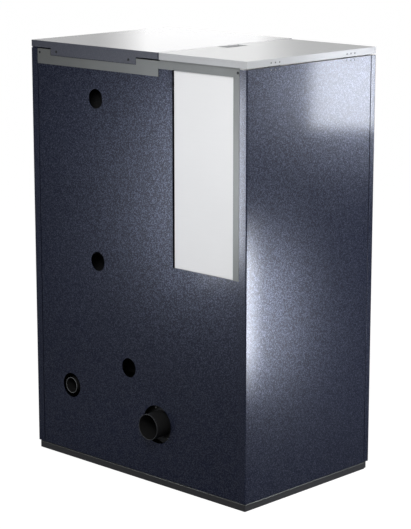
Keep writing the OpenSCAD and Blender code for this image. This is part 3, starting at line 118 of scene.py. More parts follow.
@dataclass
class ShaderSheet:
    """A node tree with short calls that add and join its nodes.

    Attributes:
        tree: The node tree of a material, a world or a node group.
    """

    tree: Tree

    def node(self, kind: str, inputs: dict[str | int, object] | None = None, **settings: object) -> Node:
        """Add a node.

        Args:
            kind: Blender's name of the node type.
            inputs: What its inputs get, as feed takes it.
            settings: Properties of the node, set by name.

        Returns:
            The new node.
        """
        made = self.tree.nodes.new(kind)
        for name, value in settings.items():
            setattr(made, name, value)
        self.feed(made, inputs or {})
        return made

    def feed(self, node: Node, inputs: dict[str | int, object]) -> None:
        """Give inputs of a node plain values, or link outputs to them.

        Args:
            node: The node that has the inputs.
            inputs: What they get, by name or index: a value, or an output socket to link.
        """
        for name, value in inputs.items():
            socket = node.inputs[name]
            if isinstance(value, Socket):
                self.tree.links.new(value, socket)
            elif isinstance(value, tuple) and len(value) < len(socket.default_value):
                socket.default_value = (*value, 1.0)
            else:
                socket.default_value = value

    def noise(self, place: Socket, scale: object, detail: float) -> Socket:
        """Add a noise texture.

        Args:
            place: Coordinates that the texture reads.
            scale: Features per metre, as a number or a socket.
            detail: Octaves of finer noise.

        Returns:
            The texture's factor.
        """
        made = self.node("ShaderNodeTexNoise", {"Vector": place, "Scale": scale, "Detail": detail})
        return made.outputs["Fac"]

    def spread(self, value: Socket, low: float, high: float, to_low: object = 0.0,
               to_high: object = 1.0) -> Socket:
        """Map a value from one range to another and hold it there.

        Args:
            value: The value to map.
            low: Lower end of the range it comes from.
            high: Upper end of the range it comes from.
            to_low: What the lower end becomes.
            to_high: What the upper end becomes.

        Returns:
            The mapped value.
        """
        made = self.node("ShaderNodeMapRange", {"Value": value, "From Min": low, "From Max": high,
                                                "To Min": to_low, "To Max": to_high})
        return made.outputs["Result"]

    def maths(self, kind: str, a: object, b: object) -> Socket:
        """Work out one step of arithmetic.

        Args:
            kind: The operation, such as ADD, MULTIPLY or MAXIMUM.
            a: First value or socket.
            b: Second value or socket.

        Returns:
            The result.
        """
        return self.node("ShaderNodeMath", {0: a, 1: b}, operation=kind).outputs["Value"]

    def blend(self, share: object, first: object, second: object) -> Socket:
        """Mix two colours.

        Args:
            share: How much of the second colour shows, from 0 to 1.
            first: Colour or socket at share 0.
            second: Colour or socket at share 1.

        Returns:
            The mixed colour.
        """
        made = self.node("ShaderNodeMix", {0: share, 6: first, 7: second}, data_type="RGBA")
        return made.outputs[2]

    def seen(self) -> Socket:
        """Tell whether the camera sees a place, straight or through glass.

        Returns:
            1 where it does, otherwise 0.
        """
        ray = self.node("ShaderNodeLightPath")
        return self.maths("MAXIMUM", ray.outputs["Is Camera Ray"], ray.outputs["Is Transmission Ray"])


@dataclass
class EffectGroups:
    """Node groups for the effects that several finishes share, each built when it is first used.

    Attributes:
        made: The groups built so far, by name.
        middle: Part of a noise's range that is spread over the whole range.
        peel_scale: Waves of the orange peel for each grain.
        peel_share: Height of the orange peel for each height of grain.
        flake_scale: Flakes for each grain.
        flake_range: Part of a noise's range over which a flake starts to show.
        line_stretch: How far rolled lines are drawn out, along each axis.
        clouds: Patches per metre in which rolled lines are clearer.
        clearness: How clear the lines are between those patches and in them.
        pits: Pits for each bump.
        pit_reach: Distance from its middle, in cells, at which a pit ends.
        pit_floor: Height that is left in the middle of a pit.
        pit_range: Part of a noise's range over which the second colour fades out.
    """

    made: dict[str, Tree] = field(default_factory=dict)
    middle: tuple[float, float] = (0.3, 0.7)
    peel_scale: float = 0.23
    peel_share: float = 0.25
    flake_scale: float = 1.3
    flake_range: tuple[float, float] = (0.44, 0.76)
    line_stretch: Triple = (0.02, 1.0, 1.0)
    clouds: float = 14.0
    clearness: tuple[float, float] = (0.6, 1.0)
    pits: float = 0.4
    pit_reach: float = 0.35
    pit_floor: float = 0.6
    pit_range: tuple[float, float] = (0.35, 0.62)

    def get(self, name: str) -> Tree:
        """Give a group, building it the first time.

        Args:
            name: Name of the method that builds it.

        Returns:
            The node group.
        """
        if name not in self.made:
            self.made[name] = getattr(self, name)()
        return self.made[name]

    @staticmethod
    def shell(name: str, inputs: dict[str, object], outputs: tuple[str, ...]) -> tuple:
        """Start a node group with named sockets.

        Args:
            name: The group's name.
            inputs: Default of each input, by name.
            outputs: Name of each output.

        Returns:
            The sheet, the sockets that the group is given and its output node.
        """
        tree = bpy.data.node_groups.new(name, "ShaderNodeTree")
        for label, default in inputs.items():
            kind = SOCKET_KINDS.get(label, "NodeSocketFloat")
            socket = tree.interface.new_socket(label, in_out="INPUT", socket_type=kind)
            if default is not None:
                socket.default_value = default
        for label in outputs:
            kind = SOCKET_KINDS.get(label, "NodeSocketFloat")
            tree.interface.new_socket(label, in_out="OUTPUT", socket_type=kind)
        sheet = ShaderSheet(tree)
        return sheet, sheet.node("NodeGroupInput").outputs, sheet.node("NodeGroupOutput")

    def grained_coat(self) -> Tree:
        """Build the leathery grain of textured powder coat, with the metal flakes in it.

        Returns:
            The node group, with outputs Height and Flake.
        """
        sheet, given, out = self.shell("grained_coat", {"Place": None, "Grains per metre": 400.0},
                                       ("Height", "Flake"))
        place, grains = given["Place"], given["Grains per metre"]
        pebble = sheet.noise(place, grains, 1.5)
        orange_peel = sheet.noise(place, sheet.maths("MULTIPLY", grains, self.peel_scale), 0.0)
        peel = sheet.maths("MULTIPLY", orange_peel, self.peel_share)
        flake = sheet.noise(place, sheet.maths("MULTIPLY", grains, self.flake_scale), 0.0)
        sheet.feed(out, {"Height": sheet.maths("ADD", pebble, peel),
                         "Flake": sheet.spread(flake, *self.flake_range)})
        return sheet.tree

    def uneven_tone(self) -> Tree:
        """Build the slow drift of a colour over a large surface.

        Returns:
            The node group, with output Colour.
        """
        sheet, given, out = self.shell(
            "uneven_tone", {"Place": None, "Colour": (0.5, 0.5, 0.5, 1.0), "Patches per metre": 3.0,
                            "Amount": 0.1}, ("Colour",))
        drift = sheet.noise(given["Place"], given["Patches per metre"], 3.0)
        amount = given["Amount"]
        low = sheet.maths("SUBTRACT", 1.0, amount)
        high = sheet.maths("ADD", 1.0, amount)
        share = sheet.spread(drift, *self.middle, low, high)
        scaled = sheet.node("ShaderNodeVectorMath", {0: given["Colour"], "Scale": share},
                            operation="SCALE")
        sheet.feed(out, {"Colour": scaled.outputs["Vector"]})
        return sheet.tree

    def brushed_sheet(self) -> Tree:
        """Build the long fine lines of rolled or turned metal.

        Returns:
            The node group, with outputs Height and Streak.
        """
        sheet, given, out = self.shell("brushed_sheet", {"Place": None, "Lines per metre": 900.0},
                                       ("Height", "Streak"))
        place = given["Place"]
        long_way = sheet.node("ShaderNodeMapping", {"Vector": place, "Scale": self.line_stretch})
        lines = sheet.noise(long_way.outputs["Vector"], given["Lines per metre"], 3.0)
        clear = sheet.spread(sheet.noise(place, self.clouds, 2.0), *self.middle, *self.clearness)
        sheet.feed(out, {"Height": lines, "Streak": sheet.maths("MULTIPLY", lines, clear)})
        return sheet.tree

    def rough_surface(self) -> Tree:
        """Build the pits and bumps of castings, fibre and rough paint.

        Returns:
            The node group, with outputs Height and Pit.
        """
        sheet, given, out = self.shell("rough_surface", {"Place": None, "Bumps per metre": 300.0},
                                       ("Height", "Pit"))
        place, per_metre = given["Place"], given["Bumps per metre"]
        bumps = sheet.noise(place, per_metre, 6.0)
        cells = sheet.maths("MULTIPLY", per_metre, self.pits)
        cell = sheet.node("ShaderNodeTexVoronoi", {"Vector": place, "Scale": cells})
        pit = sheet.spread(cell.outputs["Distance"], 0.0, self.pit_reach)
        raised = sheet.maths("ADD", pit, self.pit_floor)
        sheet.feed(out, {"Height": sheet.maths("MULTIPLY", bumps, raised),
                         "Pit": sheet.spread(bumps, *self.pit_range, 1.0, 0.0)})
        return sheet.tree


GROUPS = EffectGroups()


@dataclass(frozen=True)
class Finish:
    """A finish whose surface is the same kind of stuff all over.

    Attributes:
        name: Name of the material.
        colour: Main colour, as linear red, green and blue.
        second: Colour of the flakes, streaks or pits.
        roughness: Roughness of the surface.
        metallic: How much of the surface is bare metal.
        specular: Strength of the gloss of a painted or moulded surface.
        detail: Effect group that shapes the surface.
        fineness: Features of that effect per metre.
        depth: Depth of the relief, in millimetres.
        strength: Share of the relief that the bump shows.
        drift: How much the colour drifts over the piece.
        patches: Patches of that drift per metre.
        coat: Weight of the clear layer on top.
        coat_roughness: Roughness of the clear layer.
        sheen: Weight of the soft fibres' shine.
        flake_metal: How much of a flake in the coat is bare metal.
    """

    name: str
    colour: Colour
    second: Colour
    roughness: float = 0.5
    metallic: float = 0.0
    specular: float = 0.5
    detail: Detail = Detail.GRAIN
    fineness: float = 400.0
    depth: float = 0.1
    strength: float = 0.4
    drift: float = 0.06
    patches: float = 3.0
    coat: float = 0.0
    coat_roughness: float = 0.1
    sheen: float = 0.0
    flake_metal: float = 0.0

    def toned(self, sheet: ShaderSheet, place: Socket, colour: Socket) -> Socket:
        """Let a colour drift over the piece.

        Args:
            sheet: The material's node tree.
            place: Object coordinates.
            colour: The colour to change.

        Returns:
            The drifting colour.
        """
        made = sheet.node("ShaderNodeGroup", {"Place": place, "Colour": colour,
                                              "Patches per metre": self.patches, "Amount": self.drift},
                          node_tree=GROUPS.get("uneven_tone"))
        return made.outputs["Colour"]

    def material(self) -> bpy.types.Material:
        """Build the material.

        Returns:
            The new material.
        """
        made = bpy.data.materials.new(self.name)
        made.use_nodes = True
        sheet = ShaderSheet(made.node_tree)
        shader = made.node_tree.nodes["Principled BSDF"]
        place = sheet.node("ShaderNodeTexCoord").outputs["Object"]
        effect = sheet.node("ShaderNodeGroup", {0: place, 1: self.fineness},
                            node_tree=GROUPS.get(self.detail.value))
        height, mask = effect.outputs
        bump = sheet.node("ShaderNodeBump", {"Strength": self.strength, "Distance": self.depth * MM,
                                             "Height": height})
        colour = sheet.blend(mask, self.colour, self.second)
        metallic = self.metallic
        if self.flake_metal:
            metallic = sheet.maths("MULTIPLY", mask, self.flake_metal)
        sheet.feed(shader, {"Base Color": self.toned(sheet, place, colour), "Metallic": metallic,
                            "Normal": bump.outputs["Normal"], "Roughness": self.roughness,
                            "Specular IOR Level": self.specular, "Coat Weight": self.coat,
                            "Coat Roughness": self.coat_roughness, "Sheen Weight": self.sheen})
        return made


FINISHES = {
    "navy_panel": Finish("navy_textured_coat", (0.0016, 0.0042, 0.021), (0.122, 0.135, 0.182), roughness=0.29,
                         specular=0.42, fineness=300, depth=0.3, strength=1.0, drift=0.08,
                         coat=0.5, coat_roughness=0.09, flake_metal=1.0),
    "navy_cover": Finish("navy_cover_coat", (0.019, 0.022, 0.040), (0.076, 0.081, 0.110), roughness=0.46,
                         specular=1.6, fineness=500, depth=0.06, strength=0.5, drift=0.08,
                         coat=0.8),
    "grey_lid": Finish("grey_lid_coat", (0.46, 0.468, 0.478), (0.50, 0.508, 0.518), roughness=0.34,
                       specular=0.2, fineness=700, depth=0.03, strength=0.25, drift=0.02,
                       coat=0.4, coat_roughness=0.15),
    "bare_rail": Finish("zinc_coated_rail", (0.25, 0.255, 0.24), (0.30, 0.305, 0.29), roughness=0.42,
                        metallic=0.8, detail=Detail.BRUSHED, fineness=600, depth=0.02, strength=0.3,
                        drift=0.05, patches=9),
    "pale_sheet": Finish("pale_coated_sheet", (0.90, 0.90, 0.90), (0.93, 0.93, 0.93), roughness=0.42,
                         detail=Detail.BRUSHED, fineness=500, depth=0.015, strength=0.25, drift=0.02),
    "zinc": Finish("zinc_coated_sheet", (0.50, 0.51, 0.52), (0.64, 0.65, 0.66), roughness=0.38, metallic=0.9,
                   detail=Detail.ROUGH, fineness=120, depth=0.02, strength=0.3, drift=0.08, patches=12),
    "bright_steel": Finish("bright_fastener_steel", (0.72, 0.73, 0.74), (0.62, 0.63, 0.65), roughness=0.2,
                           metallic=1.0, detail=Detail.BRUSHED, fineness=2500, depth=0.01, strength=0.3),
    "hinge_grey": Finish("phosphated_hinge_steel", (0.13, 0.134, 0.138), (0.17, 0.174, 0.178),
                         detail=Detail.BRUSHED, fineness=2000, depth=0.01, strength=0.3),
    "black_zinc": Finish("black_zinc_plating", (0.022, 0.022, 0.024), (0.034, 0.034, 0.037), roughness=0.4,
                         detail=Detail.BRUSHED, fineness=2500, depth=0.01, strength=0.3),
    "plinth_black": Finish("black_plinth_coat", (0.034, 0.034, 0.037), (0.046, 0.046, 0.049), roughness=0.38,
                           fineness=800, depth=0.05, coat=0.6, coat_roughness=0.2),
    "flue_black": Finish("black_stove_paint", (0.010, 0.010, 0.010), (0.020, 0.020, 0.021),
                         detail=Detail.ROUGH, fineness=1400, depth=0.04, strength=0.5),
    "frame_grey": Finish("grey_frame_primer", (0.055, 0.058, 0.064), (0.075, 0.078, 0.084), roughness=0.55,
                         detail=Detail.ROUGH, fineness=900, depth=0.05, strength=0.35),
    "boiler_steel": Finish("heat_proof_dark_paint", (0.034, 0.035, 0.038), (0.060, 0.058, 0.056),
                           roughness=0.6, detail=Detail.ROUGH, fineness=500, depth=0.12, strength=0.5,
                           drift=0.15),
    "cast_iron": Finish("raw_cast_iron", (0.040, 0.037, 0.035), (0.085, 0.066, 0.052), roughness=0.68,
                        metallic=0.35, detail=Detail.ROUGH, fineness=420, depth=0.35, strength=0.7,
                        drift=0.2, patches=14),
    "machine_grey": Finish("machine_enamel", (0.115, 0.122, 0.132), (0.15, 0.157, 0.168), roughness=0.36,
                           fineness=520, depth=0.06, strength=0.35, coat=0.35, coat_roughness=0.2),
    "steel": Finish("turned_steel", (0.36, 0.365, 0.37), (0.26, 0.262, 0.27), roughness=0.32, metallic=1.0,
                    detail=Detail.BRUSHED, fineness=1500, depth=0.015, drift=0.08, patches=10),
    "bronze": Finish("bearing_bronze", (0.50, 0.30, 0.12), (0.36, 0.21, 0.08), roughness=0.35, metallic=1.0,
                     detail=Detail.BRUSHED, fineness=1500, depth=0.01, strength=0.3, drift=0.1, patches=20),
    "rubber": Finish("moulded_rubber", (0.016, 0.016, 0.017), (0.026, 0.026, 0.027), roughness=0.62,
                     specular=0.35, fineness=1800, depth=0.04),
    "fibre": Finish("mineral_fibre", (0.40, 0.36, 0.27), (0.27, 0.24, 0.17), roughness=0.95, specular=0.2,
                    detail=Detail.ROUGH, fineness=700, depth=0.8, strength=0.8, drift=0.15, patches=8,
                    sheen=0.3),
    "dark_fibre": Finish("black_faced_mineral_fibre", (0.012, 0.012, 0.013), (0.024, 0.024, 0.025),
                         roughness=0.95, specular=0.15, detail=Detail.ROUGH, fineness=700, depth=0.8,
                         strength=0.8, drift=0.15, patches=8, sheen=0.1),
    "refractory": Finish("pressed_vermiculite", (0.44, 0.34, 0.23), (0.30, 0.22, 0.14), roughness=0.92,
                         specular=0.2, detail=Detail.ROUGH, fineness=260, depth=0.6, strength=0.7,
                         drift=0.12, patches=10),
    "black_plastic": Finish("fine_grained_black_plastic", (0.014, 0.014, 0.015), (0.024, 0.024, 0.026),
                            roughness=0.48, fineness=1500, depth=0.03, strength=0.45),
    "display_black": Finish("gloss_black_glass", (0.004, 0.004, 0.005), (0.006, 0.006, 0.008), roughness=0.08,
                            fineness=40, depth=0.005, strength=0.05, drift=0.0, coat=1.0,
                            coat_roughness=0.02),
}

EDGES = {
    Edge.THIN_SHEET: ("bare_rail", "pale_sheet", "zinc", "frame_grey"),
    Edge.PANEL: ("navy_panel", "navy_cover", "grey_lid", "plinth_black"),
    Edge.TURNED: ("flue_black", "steel", "bronze", "rubber", "display_black"),
    Edge.MOULDING: ("boiler_steel", "machine_grey", "refractory", "black_plastic"),
    Edge.CASTING: ("cast_iron",),
}


# Modelling by hand


class Bench:
    """Modelling steps that every sub-assembly uses.

    Attributes:
        flat_angle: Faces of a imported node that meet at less, in degrees, become one.
        sharp_angle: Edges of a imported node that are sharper, in degrees, are rounded.
    """

    flat_angle: float = 0.4
    sharp_angle: float = 38.0

    @staticmethod
    def clear() -> None:
        """Leave edit mode and deselect every object."""
        if bpy.context.mode != "OBJECT":
            bpy.ops.object.mode_set(mode="OBJECT")
        bpy.ops.object.select_all(action="DESELECT")

    @staticmethod
    def pick(piece: Piece) -> None:
        """Make one piece the only selected and active one.

        Args:
            piece: The piece to work on.
        """
        Bench.clear()
        piece.select_set(True)
        bpy.context.view_layer.objects.active = piece

    @staticmethod
    def settle(piece: Piece) -> None:
        """Put the piece's place, turn and size into its mesh.

        Args:
            piece: The piece to settle.
        """
        Bench.pick(piece)
        bpy.ops.object.transform_apply(location=True, rotation=True, scale=True)

    @staticmethod
    def convert(piece: Piece, kind: str) -> Piece:
        """Turn a piece into a mesh or a curve.

        Args:
            piece: The piece to convert.
            kind: MESH or CURVE.

        Returns:
            The converted piece.
        """
        Bench.pick(piece)
        bpy.ops.object.convert(target=kind)
        return bpy.context.object

    @staticmethod
    def modify(piece: Piece, kind: str, now: bool = False, **settings: object) -> None:
        """Add a modifier to a piece.

        Args:
            piece: The piece to change.
            kind: Blender's name of the modifier type.
            now: Whether it is applied at once.
            settings: Properties of the modifier, set by name.
        """
        made = piece.modifiers.new(kind.lower(), kind)
        for name, value in settings.items():
            setattr(made, name, value)
        if now:
            Bench.pick(piece)
            bpy.ops.object.modifier_apply(modifier=made.name)

    @staticmethod
    def torus(major: float, minor: float, around: int, across: int, centre: Vector, turn: Triple) -> Piece:
        """Add a ring.

        Args:
            major: Radius to the middle of the ring's section.
            minor: Radius of the section.
            around: Sections round the ring.
            across: Points in a section.
            centre: Middle of the ring.
            turn: Turn about the three axes, from a ring that lies flat.

        Returns:
            The ring.
        """
        Bench.clear()
        bpy.ops.mesh.primitive_torus_add(major_radius=major, minor_radius=minor, major_segments=around,
                                         minor_segments=across, location=centre, rotation=turn)
        piece = bpy.context.object
        Bench.settle(piece)
        return piece

    @staticmethod
    def reshape(piece: Piece, move: Callable[[Vector], Vector]) -> None:
        """Move every point of a piece by a rule.

        Args:
            piece: The piece to reshape.
            move: Gives the new place of a point from its old one.
        """
        for point in piece.data.vertices:
            point.co = move(point.co)
        piece.data.update()

    @staticmethod
    def tidy_normals(piece: Piece) -> None:
        """Merge doubled points and turn all faces outwards.

        Args:
            piece: The piece to tidy.
        """
        Bench.pick(piece)
        bpy.ops.object.mode_set(mode="EDIT")
        bpy.ops.mesh.select_all(action="SELECT")
        bpy.ops.mesh.remove_doubles(threshold=MERGE_DISTANCE)
        bpy.ops.mesh.normals_make_consistent(inside=False)
        bpy.ops.object.mode_set(mode="OBJECT")

    @staticmethod
    def round_edges(piece: Piece, width: float) -> None:
        """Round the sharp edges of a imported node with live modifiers.

        Args:
            piece: The node's object.
            width: Width of the rounding, in millimetres.
        """
        Bench.modify(piece, "WELD", merge_threshold=MERGE_DISTANCE)
        Bench.modify(piece, "DECIMATE", decimate_type="DISSOLVE",
                     angle_limit=math.radians(Bench.flat_angle))
        if width > 0:
            Bench.modify(piece, "BEVEL", width=width * MM, segments=2, limit_method="ANGLE",
                         angle_limit=math.radians(Bench.sharp_angle), use_clamp_overlap=True,
                         harden_normals=True)
        for face in piece.data.polygons:
            face.use_smooth = True
        Bench.modify(piece, "WEIGHTED_NORMAL", keep_sharp=True)

    @staticmethod
    def finish(piece: Piece, name: str, slot: str, body: Body, sharp: float, *nodes: str) -> None:
        """Shade a new piece, name and dress it, and let it ride.

        Args:
            piece: The finished mesh.
            name: Name of the piece.
            slot: Slot of the record that it takes its finish from.
            body: Body that it moves with.
            sharp: Angle above which its edges stay sharp, in degrees.
            nodes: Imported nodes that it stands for.
        """
        Bench.pick(piece)
        bpy.ops.object.shade_smooth_by_angle(angle=math.radians(sharp))
        piece.name = name
        piece.data.name = name
        piece.data.materials.clear()
        piece.data.materials.append(Wardrobe.material(slot))
        if nodes:
            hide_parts(*nodes)
        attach(piece, body.value)
        log.info("%s: %d faces, rides on %s", name, len(piece.data.polygons), body.value)


class Wardrobe:
    """Materials of the record's slots.

    Attributes:
        made: The materials built so far, by slot.
    """

    made: dict[str, bpy.types.Material] = {}

    @classmethod
    def material(cls, slot: str) -> bpy.types.Material:
        """Give the material of a slot.

        Args:
            slot: Slot of the record.

        Returns:
            Its material.
        """
        if slot not in cls.made:
            cls.made[slot] = FINISHES[slot].material()
        return cls.made[slot]

    @classmethod
    def dress(cls, node: Piece, slot: str) -> None:
        """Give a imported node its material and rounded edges.

        Args:
            node: The node's object.
            slot: Slot of the record that the node has.
        """
        for holder in node.material_slots:
            holder.material = cls.material(slot)
        edge = next((kind for kind, slots in EDGES.items() if slot in slots), Edge.NONE)
        Bench.round_edges(node, edge.value)
        log.info("%s: %s", node.name, slot)


# Sub-assemblies


@dataclass
class InsulationJacket:
    """Quilted mineral-fibre jacket round the boiler body.

    Attributes:
        cell: Size of the cells of its mesh, in metres.
        quilt_z: Distance between the sewn lines, up.
        quilt_side: Distance between the sewn lines, sideways.
        seam_depth: How deep a sewn line pulls in.
        seam_sharpness: Power that keeps a sewn line narrow.
        rear_share: Share of half the jacket's depth that counts as its rear face.
        skin: Depth under the outer faces within which points are pulled in.
    """

    cell: float = 0.0075
    quilt_z: float = 0.22
    quilt_side: float = 0.19
    seam_depth: float = 0.005
    seam_sharpness: int = 24
    rear_share: float = 0.14
    skin: float = 0.008

    def build(self, nodes: dict[str, Piece]) -> None:
        """Model the jacket from a copy of its plain solid.

        Args:
            nodes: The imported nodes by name.
        """
        Bench.pick(nodes["insulation_blanket"])
        bpy.ops.object.duplicate()
        piece = bpy.context.object
        bpy.ops.object.parent_clear(type="CLEAR_KEEP_TRANSFORM")
        piece.modifiers.clear()
        Bench.tidy_normals(piece)
        Bench.modify(piece, "REMESH", True, mode="VOXEL", voxel_size=self.cell, adaptivity=0.0)
        low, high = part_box("insulation_blanket")
        centre = (low + high) / 2
        rear_depth = (high.y - low.y) / 2 * self.rear_share

        def sewn(point: Vector) -> Vector:
            """Pull a point in where a sewn line passes.

            Args:
                point: A point of the jacket.

            Returns:
                Its new place.
            """
            up = math.cos(2 * math.pi * (point.z - low.z) / self.quilt_z)
            if point.y > high.y - rear_depth:
                across = math.cos(2 * math.pi * (point.x - centre.x) / self.quilt_side)
                outward = Vector((0.0, 1.0, 0.0))
                outside = point.y > high.y - self.skin
            else:
                across = math.cos(2 * math.pi * (point.y - low.y) / self.quilt_side)
                outward = Vector((math.copysign(1.0, point.x - centre.x), 0.0, 0.0))
                outside = abs(point.x - centre.x) > (high.x - low.x) / 2 - self.skin
            seams = max(0.0, up) ** self.seam_sharpness + max(0.0, across) ** self.seam_sharpness
            pull = min(self.seam_depth * seams, self.seam_depth)
            return point - outward * pull if outside else point

        Bench.reshape(piece, sewn)
        Bench.finish(piece, "insulation_jacket", "dark_fibre", Body.CASING, 60, "insulation_blanket")


@dataclass
class Seals:
    """Rope round the fire door and bulb seal on the hopper rim.

    Attributes:
        rope_radius: Radius of the rope before it is pressed.
        rope_corner: Radius of the rope's corners.
        rope_press: Share of the gap that the pressed rope fills.
        strand_depth: Height of the rope's strands.
        strand_pitch: Length over which the strands' wave turns by one radian.
        bulb_width: Width of the bulb seal.
        bulb_corner: Radius of its corners.
        bulb_share: Share of that width that the clip and the bulb have.
        neck_share: Share of that width that the neck has.
        neck: Where the neck lies, from -1 at the foot to 1 at the top.
        bulb_flat: How far the sides are flattened.
    """

    rope_radius: float = 0.0068
    rope_corner: float = 0.014
    rope_press: float = 0.98
    strand_depth: float = 0.00035
    strand_pitch: float = 0.0042
    bulb_width: float = 0.008
    bulb_corner: float = 0.006
    bulb_share: float = 0.96
    neck_share: float = 0.62
    neck: tuple[float, float] = (-0.35, 0.2)
    bulb_flat: float = 1.25

    @staticmethod
    def ring(low: Vector, high: Vector, flat: str, corner: float) -> Piece:
        """Draw a rounded rectangle as a closed curve.

        Args:
            low: Lowest corner of the rectangle's middle line.
            high: Highest corner of it.
            flat: Axis across the rectangle, Y or Z.
            corner: Radius of its corners.

        Returns:
            The curve.
        """
        centre = (low + high) / 2
        Bench.clear()
        turn = TO_REAR if flat == "Y" else (0.0, 0.0, 0.0)
        bpy.ops.mesh.primitive_plane_add(size=1.0, location=centre, rotation=turn)
        piece = bpy.context.object
        tall = high.z - low.z if flat == "Y" else high.y - low.y
        piece.scale = (high.x - low.x, tall, 1.0)
        Bench.settle(piece)
        bpy.ops.object.mode_set(mode="EDIT")
        bpy.ops.mesh.select_all(action="SELECT")
        bpy.ops.mesh.delete(type="ONLY_FACE")
        bpy.ops.mesh.select_all(action="SELECT")
        bpy.ops.mesh.bevel(offset=corner, segments=8, affect="VERTICES")
        bpy.ops.object.mode_set(mode="OBJECT")
        return Bench.convert(piece, "CURVE")

    def door_rope(self) -> None:
        """Model the braided rope that seals the fire door."""
        low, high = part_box("door_gasket")
        inset = self.rope_radius
        middle = (low.y + high.y) / 2
        squash = (high.y - low.y) / (2 * self.rope_radius)
        piece = self.ring(Vector((low.x + inset, middle, low.z + inset)),
                          Vector((high.x - inset, middle, high.z - inset)), "Y", self.rope_corner)
        piece.data.bevel_depth = self.rope_radius
        piece.data.bevel_resolution = 4
        piece = Bench.convert(piece, "MESH")

        def braided(point: Vector) -> Vector:
            """Press the rope flat between its faces and give it its strands.

            Args:
                point: A point of the rope.

            Returns:
                Its new place.
            """
            strand = self.strand_depth * math.sin((point.x + point.z) / self.strand_pitch)
            pressed = (point.y - middle) * squash * self.rope_press
            return Vector((point.x, middle + pressed, point.z + strand))

        Bench.modify(piece, "SUBSURF", True, levels=1, render_levels=1)
        Bench.reshape(piece, braided)
        Bench.tidy_normals(piece)
        Bench.finish(piece, "door_rope", "fibre", Body.BOILER_DOOR, 70, "door_gasket")

    def hopper_bulb(self) -> None:
        """Model the rubber seal with its clip on the rim and its bulb under the lid."""
        low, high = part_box("hopper_seal")
        half = self.bulb_width / 2
        tall = high.z - low.z
        middle = (low.z + high.z) / 2
        Bench.clear()
        bpy.ops.mesh.primitive_circle_add(vertices=20, radius=1.0, location=(0.0, 0.0, 0.0))
        profile = bpy.context.object

        def bulb(point: Vector) -> Vector:
            """Turn the circle into a clip below and a bulb above.

            Args:
                point: A point of the circle.

            Returns:
                Its new place.
            """
            at_neck = self.neck[0] < point.y < self.neck[1]
            width = half * (self.neck_share if at_neck else self.bulb_share)
            side = max(-1.0, min(1.0, point.x * self.bulb_flat))
            return Vector((side * width, point.y * tall / 2, 0.0))

        Bench.reshape(profile, bulb)
        profile = Bench.convert(profile, "CURVE")
        piece = self.ring(Vector((low.x + half, low.y + half, middle)),
                          Vector((high.x - half, high.y - half, middle)), "Z", self.bulb_corner)
        piece.data.dimensions = "3D"
        piece.data.twist_mode = "Z_UP"
        piece.data.bevel_mode = "OBJECT"
        piece.data.bevel_object = profile
        piece = Bench.convert(piece, "MESH")
        bpy.data.objects.remove(profile)
        Bench.tidy_normals(piece)
        Bench.finish(piece, "hopper_bulb_seal", "rubber", Body.CASING, 50, "hopper_seal")

    def build(self) -> None:
        """Model both seals."""
        self.door_rope()
        self.hopper_bulb()


